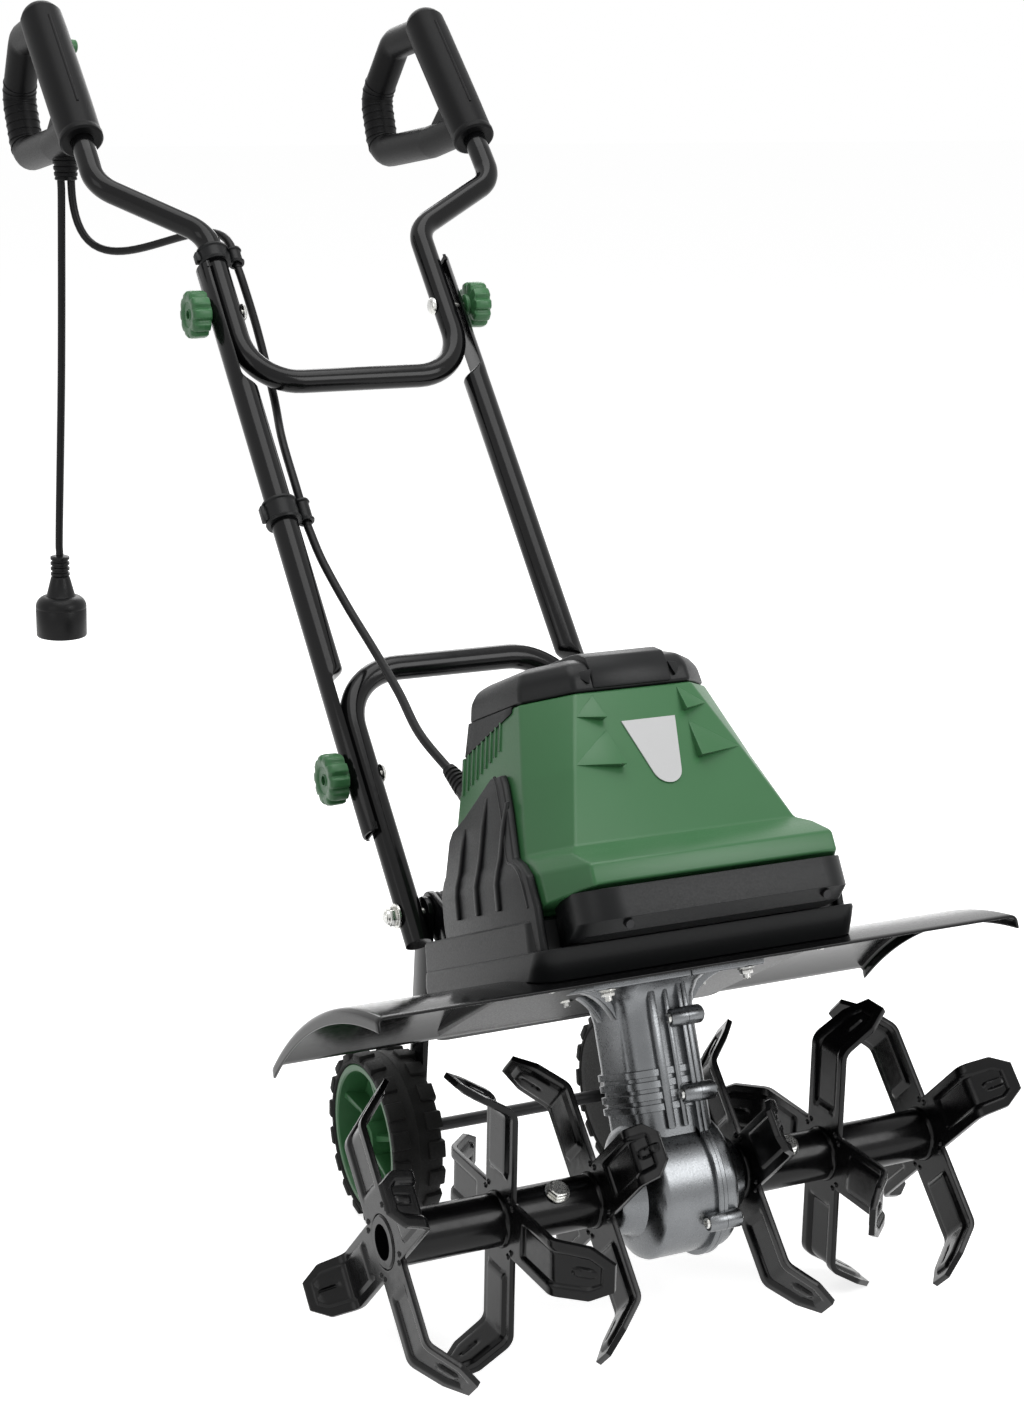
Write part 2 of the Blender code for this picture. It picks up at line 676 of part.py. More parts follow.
def make_crown_gear():
    """A bevel wheel on the tine shaft, its teeth facing the pinion across the case."""
    back, front = GEAR_X
    slope = (GEAR_R - PINION_Z[0]) * PINION_TEETH / GEAR_TEETH
    steps = GEAR_TEETH * 2
    rows = []
    for radius, drop, toothed in (
        (TINE_SHAFT_R + GAP, TOOTH_DEPTH, False),
        (PINION_Z[0] - TOOTH_RAMP, TOOTH_DEPTH, False),
        (PINION_Z[0], 0.0, True),
        (GEAR_R, slope, True),
    ):
        row = []
        for step in range(steps):
            turn = math.tau * step / steps
            depth = drop + (TOOTH_DEPTH if toothed and step % 2 else 0.0)
            row.append((front - depth, radius * math.cos(turn), radius * math.sin(turn)))
        rows.append(row)
    for radius in (GEAR_R, TINE_SHAFT_R + GAP):
        rows.append([(back, y * radius / GEAR_R, z * radius / GEAR_R) for _, y, z in rows[3]])
    rows.append(rows[0])
    part("crown_gear", skin(rows), STEEL, TINE_AXIS)


def make_gearbox():
    for hand, side in SIDES.items():
        left = side < 0
        seam = SEAM_X if left else SEAM_X + GAP
        drum_end = CASE_LEFT_X if left else CASE_RIGHT_X
        column_end = COLUMN_LEFT_X if left else CASE_RIGHT_X
        flange_end = FLANGE_X[0] if left else FLANGE_X[1]
        cavity_end = drum_end - side * CASE_WALL
        boss = side * BOSS_X
        drum = rod_x((seam, drum_end), CASE_R, sides=CASE_SIDES)
        half = part(f"gearbox_{hand}", drum, CAST_METAL, CHASSIS)
        cone = (drum_end - side * PAST, drum_end + side * CASE_CONE)
        join(half, rod_x(cone, CASE_R - 0.001, end_radius=BOSS_R, sides=CASE_SIDES))
        join(half, rod_x((drum_end - side * PAST, boss), BOSS_R - 0.0005, sides=CASE_SIDES))
        column_y = (-COLUMN_HALF_Y, COLUMN_HALF_Y)
        under = FLANGE_Z[0] + 0.001
        join(half, block((column_end, seam), column_y, (0.0, under + 0.001)))
        join(half, block((flange_end, seam), FLANGE_Y, FLANGE_Z))
        root = column_end - side * GUSSET_ROOT
        wing = [(root, GUSSET_Z), (flange_end, under), (root, under)]
        gusset = [[(x, y, z) for x, z in wing] for y in GUSSET_Y]
        join(half, skin(gusset, capped=(True, True)))
        lug_end = seam + side * LUG_LENGTH
        for place in LUG_PLACES:
            join(half, rod_x((seam, lug_end), LUG_R, place, sides=10))
        cut(half, rod_x((seam - side * PAST, cavity_end), CASE_CAVITY_R, sides=CASE_SIDES))
        seat_end = side * (BEARING_X[1] + GAP)
        cut(half, rod_x((cavity_end - side * PAST, seat_end), BEARING_R + GAP, sides=CASE_SIDES))
        cut(half, rod_x((cavity_end, boss + side * PAST), TINE_SHAFT_R + GAP * 2))
        if left:
            cut(half, rod_z((0.0, FLANGE_Z[1] + PAST), DRIVE_BORE_R))
        inner_r = TINE_SHAFT_R + GAP
        ring = [(x, radius) for radius in (inner_r, BEARING_R) for x in BEARING_X]
        race = turned([ring[0], ring[1], ring[3], ring[2]], CASE_SIDES, (side, 0.0, 0.0))
        part(f"{hand}_tine_bearing", race, STEEL, CHASSIS)


def make_motor():
    shaft = part("drive_shaft", rod_z((PINION_Z[1] - 0.001, DRIVE_TOP_Z), DRIVE_R), STEEL, DRIVE_AXIS)
    rows = []
    for height in PINION_Z:
        pitch_r = height * PINION_TEETH / GEAR_TEETH - GAP
        row = []
        for step in range(PINION_TEETH * 4):
            turn = math.tau * step / (PINION_TEETH * 4)
            radius = pitch_r if step % 4 < 2 else pitch_r * PINION_ROOT
            row.append((radius * math.cos(turn), radius * math.sin(turn), height))
        rows.append(row)
    join(shaft, skin(rows, capped=(True, True)))
    core = part("armature", rod_z(ROTOR_Z, ROTOR_R, sides=ROTOR_SIDES), COPPER, DRIVE_AXIS)
    join(core, rod_z((ROTOR_Z[1] - 0.002, FAN_Z[0] + 0.002), FAN_HUB_R))
    join(core, rod_z((FAN_Z[0], FAN_Z[0] + FAN_DISC), FAN_R, sides=ROTOR_SIDES))
    for blade in range(FAN_BLADES):
        turn = math.tau * blade / FAN_BLADES
        out = Vector((math.cos(turn), math.sin(turn), 0.0))
        across = Vector((-math.sin(turn), math.cos(turn), 0.0)) * FAN_BLADE_HALF
        near = out * (FAN_HUB_R + 0.004)
        far = out * (FAN_R - 0.001)
        foot = [near - across, far - across, far + across, near + across]
        heights = (FAN_Z[0] + 0.002, FAN_Z[1])
        fin = [[spot + Vector((0.0, 0.0, z)) for spot in foot] for z in heights]
        join(core, skin(fin, capped=(True, True)))
    cut(core, rod_z((ROTOR_Z[0] - PAST, FAN_Z[1] + PAST), DRIVE_R + GAP))
    stator = part("motor_stator", rod_z(STATOR_Z, STATOR_R[1], sides=ROTOR_SIDES), COPPER, CHASSIS)
    bore = (STATOR_Z[0] - PAST, STATOR_Z[1] + PAST)
    cut(stator, rod_z(bore, STATOR_R[0], sides=ROTOR_SIDES))


def guard_height(y):
    """The top of the arched guard at a distance behind the tine axis."""
    return GUARD_PEAK[1] - GUARD_R + math.sqrt(GUARD_R**2 - (y - GUARD_PEAK[0]) ** 2)


def make_guard():
    steps = GUARD_STEPS
    rows = []
    for step in range(steps + 1):
        y = GUARD_Y[0] + (GUARD_Y[1] - GUARD_Y[0]) * step / steps
        z = guard_height(y)
        edge = GUARD_HALF_X - GUARD_SHEET
        row = [(-GUARD_HALF_X, y, z - GUARD_LIP), (-edge, y, z)]
        row += [(edge, y, z), (GUARD_HALF_X, y, z - GUARD_LIP)]
        rows.append(row)
    guard = part("guard", skin(rows, closed=False), BLACK_PAINT, CHASSIS)
    thicken(guard, GUARD_SHEET, -1.0)
    low = GUARD_PEAK[1] - 4 * GUARD_LIP
    cut(guard, rod_z((low, GUARD_PEAK[1] + PAST), SHAFT_HOLE_R))


def outline(section):
    """A housing section as a ring of eight points."""
    z, front_x, front_y, side_x, side_y, flank_y, rear_x, rear_y = section
    half = [(front_x, front_y), (side_x, side_y), (side_x, flank_y), (rear_x, rear_y)]
    ring = [(x, y, z) for x, y in half]
    return ring + [(-x, y, z) for x, y in reversed(half)]


def cover_side_x(height):
    """The half-width of the motor cover at a height, where the cheeks lie against it."""
    for low, high in zip(COVER_SECTIONS, COVER_SECTIONS[1:]):
        if low[0] <= height <= high[0]:
            share = (height - low[0]) / (high[0] - low[0])
            return low[3] + (high[3] - low[3]) * share
    return COVER_SECTIONS[0][3]


def base_ring(z, half_x, front, rear, corner):
    """A section of the base as a rectangle with cut corners."""
    inner_x = half_x - corner
    half = [(inner_x, front), (half_x, front + corner), (half_x, rear - corner), (inner_x, rear)]
    ring = [(x, y, z) for x, y in half]
    return ring + [(-x, y, z) for x, y in reversed(half)]


def chassis_yz(y, z):
    """A point of the ground frame as the chassis frame sees it."""
    z = z - TINE_TIP_R
    return (y * math.cos(PITCH) - z * math.sin(PITCH), y * math.sin(PITCH) + z * math.cos(PITCH))


def fold_to_chassis(spot):
    """A point of the lower fold frame as the chassis frame sees it."""
    spot = Matrix.Rotation(HANDLE_SLOPE, 3, "X") @ spot
    return Vector((spot.x, *chassis_yz(LOWER_KNOB[0] + spot.y, LOWER_KNOB[1] + spot.z)))


def make_housing():
    rings = [base_ring(*section, BASE_CORNER) for section in BASE_SECTIONS]
    base = part("base_housing", skin(rings, capped=(True, True)), BLACK_PLASTIC, CHASSIS)
    bottom_z, bottom_x, bottom_front, _ = BASE_SECTIONS[0]
    inner_x = bottom_x - BASE_WALL
    inner_y = (bottom_front + BASE_WALL, BASE_SECTIONS[-1][3] - BASE_WALL)
    inner = [base_ring(z, inner_x, *inner_y, BASE_INNER_CORNER) for z in (bottom_z - PAST, BASE_FLOOR_Z)]
    cut(base, skin(inner, capped=(True, True)))
    arch_centre = (GUARD_PEAK[0], GUARD_PEAK[1] - GUARD_R)
    cut(base, rod_x((-GUARD_HALF_X, GUARD_HALF_X), GUARD_R + GAP * 2, arch_centre, sides=ARCH_SIDES))
    cut(base, rod_z((BASE_FLOOR_Z - PAST, BASE_TOP_Z + PAST), SHAFT_HOLE_R))
    _, top_x, top_front, top_rear = BASE_SECTIONS[-1]
    tray_y = (top_front + BASE_WALL, top_rear - BASE_WALL)
    tray = [
        base_ring(z, top_x - BASE_WALL, *tray_y, BASE_INNER_CORNER) for z in (BASE_STEP_Z, BASE_TOP_Z + PAST)
    ]
    cut(base, skin(tray, capped=(True, True)))
    for side in SIDES.values():
        loops = []
        for z, front, rear in CHEEK_ROWS:
            x_in = side * (cover_side_x(z) + GAP * 2)
            x_out = x_in + side * CHEEK_WALL
            loops.append([(x_in, front, z), (x_out, front, z), (x_out, rear, z), (x_in, rear, z)])
        join(base, skin(loops, capped=(True, True)))
    shell = skin([outline(section) for section in COVER_SECTIONS])
    cover = part("motor_cover", shell, GREEN_PLASTIC, CHASSIS)
    thicken(cover, COVER_WALL, -1.0)
    before, tip = [fold_to_chassis(Vector(spot)) for spot in MOTOR_ROUTE[-2:]]
    way = (tip - before).normalized()
    join(cover, rod(tip + way * GAP, tip + way * GLAND_LENGTH, *GLAND_R, sides=12))
    cap_rings = [outline(section) for section in CAP_SECTIONS]
    cap = part("top_cap", skin(cap_rings, capped=(False, True)), BLACK_PLASTIC, CHASSIS)
    thicken(cap, COVER_WALL, -1.0)
    seam_z = COVER_SECTIONS[-1][0] + GAP
    wide = (-BUMPER_HALF_X, BUMPER_HALF_X)
    cut(cap, block(wide, wide, (seam_z - 2 * PAST, seam_z)))
    make_bumper()


def make_bumper():
    """A hollow strip under the cover's front ledge, open at the back."""
    back = max(y for y, _ in BUMPER_FACE)
    full_x = BUMPER_HALF_X - BUMPER_END
    rows = []
    for x in (-BUMPER_HALF_X, -full_x, full_x, BUMPER_HALF_X):
        shrink = BUMPER_SWEEP if abs(x) > full_x else 0.0
        rows.append([(x, min(y + shrink, back), z) for y, z in BUMPER_FACE])
    bumper = part("front_bumper", skin(rows, capped=(True, True)), BLACK_PLASTIC, CHASSIS)
    inside = full_x - BUMPER_WALL
    cut(bumper, block((-inside, inside), BUMPER_HOLLOW_Y, BUMPER_HOLLOW_Z))


def ring_points(centre, radius, start, stop, steps):
    points = []
    for step in range(steps + 1):
        turn = math.radians(start + (stop - start) * step / steps)
        points.append((centre[0] + radius * math.cos(turn), centre[1] + radius * math.sin(turn)))
    return points


def make_carriage():
    pivot = chassis_yz(*PIVOT)
    for hand, side in SIDES.items():
        span = tuple(side * x for x in BRACKET_X)
        foot_y = BASE_REAR + GAP * 2
        nose = ring_points(pivot, BRACKET_R, -40.0, 120.0, 8)
        shape = [(foot_y, BRACKET_FOOT_Z[0]), *nose, (foot_y, BRACKET_FOOT_Z[1])]
        bracket = part(f"{hand}_bracket", plate_x(shape, span), BLACK_PAINT, CHASSIS)
        past = (side * (BRACKET_X[0] - PAST), side * (BRACKET_X[1] + PAST))
        cut(bracket, rod_x(past, PIVOT_BOLT_R + BOLT_GAP, pivot, sides=16))
        bolt_span = tuple(side * x for x in PIVOT_BOLT_X)
        bolt = part(f"{hand}_pivot_bolt", rod_x(bolt_span, PIVOT_BOLT_R, sides=16), ZINC, PIVOT_AXIS)
        head = (side * (PIVOT_BOLT_X[0] + 0.001), side * (PIVOT_BOLT_X[0] - 0.0045))
        join(bolt, hex_rod(head, BOLT_HEX_R))
        washer = FLAT_X
        join(bolt, rod_x((side * washer, side * (washer + 0.0018)), PIVOT_WASHER_R))
        join(bolt, hex_rod((side * (washer + 0.0015), side * (washer + 0.0082)), BOLT_HEX_R))
        make_spring(hand, side)
        bar = ring_points((0.0, 0.0), ARM_HALF_WIDTH, 5.0, 175.0, 6)
        axle = (WHEEL_Y - PIVOT[0], WHEEL_R - PIVOT[1])
        bar += ring_points(axle, ARM_HALF_WIDTH, 185.0, 355.0, 6)
        arm_span = tuple(side * x for x in ARM_X)
        arm = part(f"{hand}_wheel_arm", plate_x(bar, arm_span), BLACK_PAINT, PIVOT_AXIS)
        through = (side * (ARM_X[0] - PAST), side * (ARM_X[1] + PAST))
        cut(arm, rod_x(through, PIVOT_BOLT_R + BOLT_GAP, sides=16))
        cut(arm, rod_x(through, AXLE_R + GAP, axle, sides=16))
        make_wheel(hand, side)
    axle_bar = part("wheel_axle", rod_x((-AXLE_END_X, AXLE_END_X), AXLE_R), STEEL, WHEEL_AXIS)
    for side in SIDES.values():
        join(axle_bar, rod_x((side * (WHEEL_X[1] + 0.001), side * AXLE_END_X), AXLE_CAP_R, sides=16))


def make_spring(hand, side):
    """A torsion spring round the pivot bolt, with a straight leg at each end."""
    points = []
    count = round(SPRING_TURNS * SPRING_POINTS)
    for step in range(count + 1):
        turn = math.tau * step / SPRING_POINTS
        x = SPRING_X[0] + (SPRING_X[1] - SPRING_X[0]) * step / count
        points.append(Vector((side * x, SPRING_COIL_R * math.cos(turn), SPRING_COIL_R * math.sin(turn))))
    leg = Vector((0.0, 0.0, -SPRING_LEG))
    first = points[0] + leg
    last = points[-1] + leg
    gap = least_self_gap(points, SPRING_WIRE_R, SPRING_POINTS // 2)
    print(f"{hand} torsion spring least gap between turns {gap * 1000:.2f} mm")
    path = [first, *points, last]
    part(f"{hand}_torsion_spring", swept(path, SPRING_WIRE_R, 1), STEEL, PIVOT_AXIS)


def make_wheel(hand, side):
    low, high = WHEEL_X
    middle = (low + high) / 2
    profile = [(low + 0.002, RIM_R + GAP), (low, SIDEWALL_R), (low + 0.005, WHEEL_R)]
    profile += [(high - 0.005, WHEEL_R), (high, SIDEWALL_R), (high - 0.002, RIM_R + GAP)]
    part(f"{hand}_tyre", turned(profile, WHEEL_SIDES, (side, 0.0, 0.0)), RUBBER, WHEEL_AXIS)
    bore = AXLE_R + GAP
    hub_in, bead_in = [(low + inset, radius) for inset, radius in RIM_INNER]
    bead_out, hub_out = [(high - inset, radius) for inset, radius in RIM_OUTER]
    web = [(middle + inset, radius) for inset, radius in RIM_WEB]
    dish = [(hub_in[0], bore), hub_in, *web[:2], bead_in, (bead_in[0], RIM_R)]
    dish += [(bead_out[0], RIM_R), bead_out, *web[2:], hub_out, (hub_out[0], bore)]
    rim = part(f"{hand}_rim", turned(dish, WHEEL_SIDES, (side, 0.0, 0.0)), GREEN_PLASTIC, WHEEL_AXIS)
    for spoke in range(RIM_SPOKES):
        turn = math.tau * spoke / RIM_SPOKES
        place = (RIM_HOLE_AT * math.cos(turn), RIM_HOLE_AT * math.sin(turn))
        cut(rim, rod_x((side * low, side * high), RIM_HOLE_R, place, sides=8))


def make_lower_handle():
    foot = -PIVOT_TO_KNOB - LEG_PAST_PIVOT
    feet = [(x, foot, 0.0) for x in (-BOW_X, BOW_X)]
    bar = [(x, LOWER_BAR_Y, 0.0) for x in (-BOW_X, BOW_X)]
    corners = [feet[0], *bar, feet[1]]
    bow = pipe("lower_handle", corners, TUBE_R, [LOWER_BEND_R] * 2, BLACK_PAINT, FOLD_AXIS)
    for side in SIDES.values():
        span = (side * (BOW_X - TUBE_R - PAST), side * (BOW_X + TUBE_R + PAST))
        cut(bow, rod_x(span, KNOB_BOLT_R + BOLT_GAP, sides=12))
        cut(bow, rod_x(span, PIVOT_BOLT_R + BOLT_GAP, (-PIVOT_TO_KNOB, 0.0), sides=16))


def knob_mesh(side):
    """A lobed hand knob with a neck, a bolt bore and a hexagonal recess."""
    steps = KNOB_LOBES * 3
    low, high = KNOB_X[1:]
    rows = []
    for x, scale in ((low, 0.97), (high - 0.003, 1.0), (high, 0.90)):
        row = []
        for step in range(steps):
            turn = math.tau * step / steps
            radius = scale * KNOB_R * (1.0 if step % 3 else KNOB_FLUTE)
            row.append((side * x, radius * math.cos(turn), radius * math.sin(turn)))
        rows.append(row)
    return skin(rows, capped=(True, True))


def make_clamps():
    for hand, side in SIDES.items():
        for level, axis in (("lower", FOLD_AXIS), ("upper", UPPER_AXIS)):
            knob = part(f"{hand}_{level}_knob", knob_mesh(side), GREEN_PLASTIC, axis)
            join(knob, rod_x((side * KNOB_X[0], side * (KNOB_X[1] + 0.002)), KNOB_NECK_R))
            bore = (side * (KNOB_X[0] - PAST), side * KNOB_X[2])
            cut(knob, rod_x(bore, KNOB_BOLT_R + BOLT_GAP, sides=12))
            cut(knob, hex_rod((side * KNOB_RECESS_X, side * (KNOB_X[2] + PAST)), KNOB_RECESS_R))
            shank = (side * (KNOB_BOLT_X[0] + 0.001), side * KNOB_BOLT_X[1])
            bolt_mesh = rod_x(shank, KNOB_BOLT_R, sides=12)
            bolt = part(f"{hand}_{level}_clamp_bolt", bolt_mesh, ZINC, axis)
            head = (side * (BOW_X - TUBE_R - GAP), side * KNOB_BOLT_X[0])
            join(bolt, rod_x(head, BOLT_HEX_R, end_radius=KNOB_BOLT_R + 0.001, sides=16))


def make_middle_frame():
    for hand, side in SIDES.items():
        x = side * MIDDLE_X
        low, high = MIDDLE_ENDS
        bar = rod((x, low, 0.0), (x, high, 0.0), MIDDLE_R)
        tube = part(f"{hand}_middle_tube", bar, BLACK_PAINT, FOLD_AXIS)
        inside = (side * (FLAT_X - 3 * MIDDLE_R), side * FLAT_X)
        depth = (-2 * MIDDLE_R, 2 * MIDDLE_R)
        cut(tube, block(inside, (low - PAST, MIDDLE_FLATS[0]), depth))
        cut(tube, block(inside, (MIDDLE_FLATS[1], high + PAST), depth))
        hollow = (MIDDLE_FLATS[0] + FLAT_STEP, MIDDLE_FLATS[1] - FLAT_STEP)
        cut(tube, rod((x, hollow[0], 0.0), (x, hollow[1], 0.0), MIDDLE_R - TUBE_WALL))
        slit_x = tuple(side * edge for edge in SLIT_X)
        slit_y = (low - PAST, high + PAST)
        cut(tube, block(slit_x, slit_y, (-SLIT_HALF_Z, SLIT_HALF_Z)))
        hole = (side * (MIDDLE_X - 2 * MIDDLE_R), side * (MIDDLE_X + 2 * MIDDLE_R))
        cut(tube, rod_x(hole, KNOB_BOLT_R + BOLT_GAP, sides=12))
        cut(tube, rod_x(hole, KNOB_BOLT_R + BOLT_GAP, (KNOB_SPACING, 0.0), sides=12))
    make_clip("cable_clip_middle", (-MIDDLE_X, 0.0), MIDDLE_R, MIDDLE_CLIP_Y, FOLD_AXIS)


def make_clip(name, centre, tube_r, y_span, parent):
    """A snap band round a tube with a small eye for the cable on its inner side."""
    start = (centre[0], y_span[0], centre[1])
    end = (centre[0], y_span[1], centre[1])
    clip = part(name, rod(start, end, tube_r + CLIP_WALL), BLACK_PLASTIC, parent)
    eye_start = (centre[0] + CLIP_CORD_X, y_span[0], centre[1])
    eye_end = (centre[0] + CLIP_CORD_X, y_span[1], centre[1])
    join(clip, rod(eye_start, eye_end, CABLE_R + CLIP_EYE_WALL, sides=12))
    over = Vector((0.0, PAST, 0.0))
    cut(clip, rod(Vector(start) - over, Vector(end) + over, tube_r + GAP))
    cut(clip, rod(Vector(eye_start) - over, Vector(eye_end) + over, CABLE_R + CLIP_CORD_GAP, sides=12))


def grip_to_upper(x, y, z):
    """A point of the left or right grip's frame as the upper frame sees it."""
    spot = Matrix.Rotation(GRIP_LEAN, 3, "X") @ Vector((0.0, y, z))
    return Vector((x, GRIP_Y + spot.y, spot.z))


def make_upper_frame():
    straight = [grip_to_upper(GRIP_X, y, 0.0) for y in (-GRIP_NECK, GRIP_TUBE)]
    half = [Vector((BOW_X, UPPER_BAR_Y, 0.0)), *[Vector(spot) for spot in UPPER_CRANK], *straight]
    mirrored = [Vector((-spot.x, spot.y, spot.z)) for spot in half]
    corners = [*reversed(mirrored), *half]
    crank = [CRANK_BEND_R] * (len(UPPER_CRANK) + 1)
    bends = [*crank, UPPER_BEND_R, UPPER_BEND_R, *crank]
    bow = pipe("upper_handle", corners, TUBE_R, bends, BLACK_PAINT, UPPER_AXIS)
    for side in SIDES.values():
        span = (side * (BOW_X - TUBE_R - PAST), side * (BOW_X + TUBE_R + PAST))
        cut(bow, rod_x(span, KNOB_BOLT_R + BOLT_GAP, sides=12))
    make_clip("cable_clip_upper", (-BOW_X, 0.0), TUBE_R, UPPER_CLIP_Y, UPPER_AXIS)
    for hand, side in SIDES.items():
        make_grip(hand, side)


def make_grip(hand, side):
    grip_axis = frame(f"{hand}_grip_axis", UPPER_AXIS, (side * GRIP_X, GRIP_Y, 0.0), GRIP_LEAN)
    dome = [(GRIP_LENGTH - drop, GRIP_R * share) for drop, share in GRIP_DOME]
    profile = [(0.0, 0.0), (0.0, GRIP_R), *dome, (GRIP_LENGTH, 0.0)]
    sleeve = turned(profile, GRIP_SIDES, (0.0, 1.0, 0.0))
    grip = part(f"{hand}_grip", sleeve, BLACK_PLASTIC, grip_axis)
    corners = [(side * BOW_TILT * z, y, z) for y, z in GRIP_BOW]
    join(grip, swept(filleted(corners, [BOW_BEND_R] * len(GRIP_BOW)), BOW_R, 3))
    if hand == "left":
        down = Matrix.Rotation(-HANDLE_SLOPE - GRIP_LEAN, 3, "X") @ Vector((0.0, 0.0, -1.0))
        boot_start = Vector(BOOT_START)
        join(grip, rod(boot_start, boot_start + down * BOOT_LENGTH, BOOT_R + 0.003, BOOT_R))
        slot_x = LEVER_HALF_X + LEVER_SLOT_GAP
        slot_y = (LEVER_Y[0] - 4 * LEVER_SLOT_GAP, LEVER_Y[1] + 3 * LEVER_SLOT_GAP)
        cut(grip, block((-slot_x, slot_x), slot_y, LEVER_SLOT_Z))
        pocket = ((BUTTON_POCKET_X, BUTTON_Y, 0.0), (BUTTON_X[1] + PAST, BUTTON_Y, 0.0))
        cut(grip, rod(*pocket, BUTTON_R + GAP, sides=BUTTON_SIDES))
        make_controls(grip_axis)
    cut(grip, rod((0.0, -PAST, 0.0), (0.0, GRIP_TUBE + 0.001, 0.0), TUBE_R + GAP))


def make_controls(grip_axis):
    lever_axis = frame("lever_axis", grip_axis, (0.0, *LEVER_PIVOT))
    y0 = LEVER_Y[0] - LEVER_PIVOT[0]
    y1 = LEVER_Y[1] - LEVER_PIVOT[0]
    end_z, back, belly = LEVER_HEEL
    nose = [(y0 + reach, z) for reach, z in LEVER_NOSE]
    shape = [(y1, end_z[0]), back, *nose, belly, (y1, end_z[1])]
    part("switch_lever", plate_x(shape, (-LEVER_HALF_X, LEVER_HALF_X)), GREEN_PLASTIC, lever_axis)
    rim_x = BUTTON_X[1] - BUTTON_CROWN
    profile = [(BUTTON_X[0], 0.0), (BUTTON_X[0], BUTTON_R), (rim_x, BUTTON_R)]
    profile += [(BUTTON_X[1], BUTTON_R * 0.75), (BUTTON_X[1], 0.0)]
    button = turned(profile, BUTTON_SIDES, (1.0, 0.0, 0.0))
    button.transform(Matrix.Translation((0.0, BUTTON_Y, 0.0)))
    part("safety_button", button, GREEN_PLASTIC, grip_axis)


def make_cords():
    fall = Matrix.Rotation(-HANDLE_SLOPE, 3, "X") @ Vector((0.0, 0.0, -1.0))
    boot_start = grip_to_upper(BOOT_START[0] - GRIP_X, *BOOT_START[1:])
    mouth = boot_start + fall * (BOOT_LENGTH + GAP)
    aside = Vector((CORD_SPREAD, 0.0, 0.0))
    lead_top = mouth - aside
    hang = lead_top + fall * LEAD_LENGTH
    lead_end = hang - Vector((LEAD_LEAN, 0.0, 0.0))
    lead_middle = lead_top.lerp(hang, 0.5) - Vector((LEAD_LEAN * 0.4, 0.0, 0.0))
    stub = fall * LEAD_STUB
    lead = smooth_route([lead_top, lead_top + stub, lead_middle, lead_end - stub, lead_end], LEAD_POINTS)
    part("mains_lead", swept(lead, CABLE_R, 2), RUBBER, UPPER_AXIS)
    relief = lead_end + fall * GAP
    steps = []
    for low, high, low_r, high_r in PLUG_STEPS:
        steps.append(rod(relief + fall * low, relief + fall * high, low_r, high_r, PLUG_SIDES))
    plug = part("mains_plug", steps[0], RUBBER, UPPER_AXIS)
    join(plug, *steps[1:])
    eye = -BOW_X + CLIP_CORD_X
    loop_start = mouth + aside
    eye_mouth = Vector((eye, UPPER_CLIP_Y[1], 0.0))
    eye_tail = Vector((eye, UPPER_CLIP_Y[0] - CLIP_TAIL, 0.0))
    approach = eye_mouth + Vector((0.0, LOOP_APPROACH, 0.0))
    loop = interpolate_bezier(loop_start, loop_start + fall * LOOP_DROP, approach, eye_mouth, CORD_POINTS)
    loop_points = smooth_route([*loop, eye_mouth.lerp(eye_tail, 0.5), eye_tail], CORD_POINTS)
    part("cable_loop", swept(loop_points, CABLE_R, 2), RUBBER, UPPER_AXIS)
    middle_eye = -MIDDLE_X + CLIP_CORD_X
    fold = [
        Vector((eye, KNOB_SPACING + UPPER_CLIP_Y[0] - CLIP_TAIL - 2 * GAP, 0.0)),
        Vector((eye + 0.001, KNOB_SPACING + 0.030, -0.001)),
        Vector((eye + 0.006, KNOB_SPACING - 0.010, -0.012)),
        Vector((eye + 0.006, KNOB_SPACING + UPPER_BAR_Y, -0.019)),
        Vector((middle_eye + 0.004, 0.315, -0.008)),
        Vector((middle_eye, MIDDLE_CLIP_Y[1] + 0.014, 0.0)),
        Vector((middle_eye, MIDDLE_CLIP_Y[1], 0.0)),
        Vector((middle_eye, MIDDLE_CLIP_Y[0] - CLIP_TAIL, 0.0)),
    ]
    fold_points = smooth_route(fold, CORD_POINTS)
    part("cable_fold", swept(fold_points, CABLE_R, 2), RUBBER, FOLD_AXIS)
    motor = [(middle_eye, MIDDLE_CLIP_Y[0] - CLIP_TAIL - 2 * GAP, 0.0), *MOTOR_ROUTE]
    motor_points = smooth_route(motor, CORD_POINTS)
    part("cable_motor", swept(motor_points, CABLE_R, 2), RUBBER, FOLD_AXIS)
    cords = {"lead": lead, "loop": loop_points, "fold": fold_points, "motor": motor_points}
    for name, points in cords.items():
        print(f"cord {name} {route_length(points) * 1000:.0f} mm")


make_tines()
make_gearbox()
make_motor()
make_guard()
make_housing()
make_carriage()
make_lower_handle()
make_clamps()
make_middle_frame()
make_upper_frame()
make_cords()
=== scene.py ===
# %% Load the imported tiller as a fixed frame
import math

import bmesh
import bpy
from mathutils import Matrix, Vector
from mathutils.geometry import interpolate_bezier


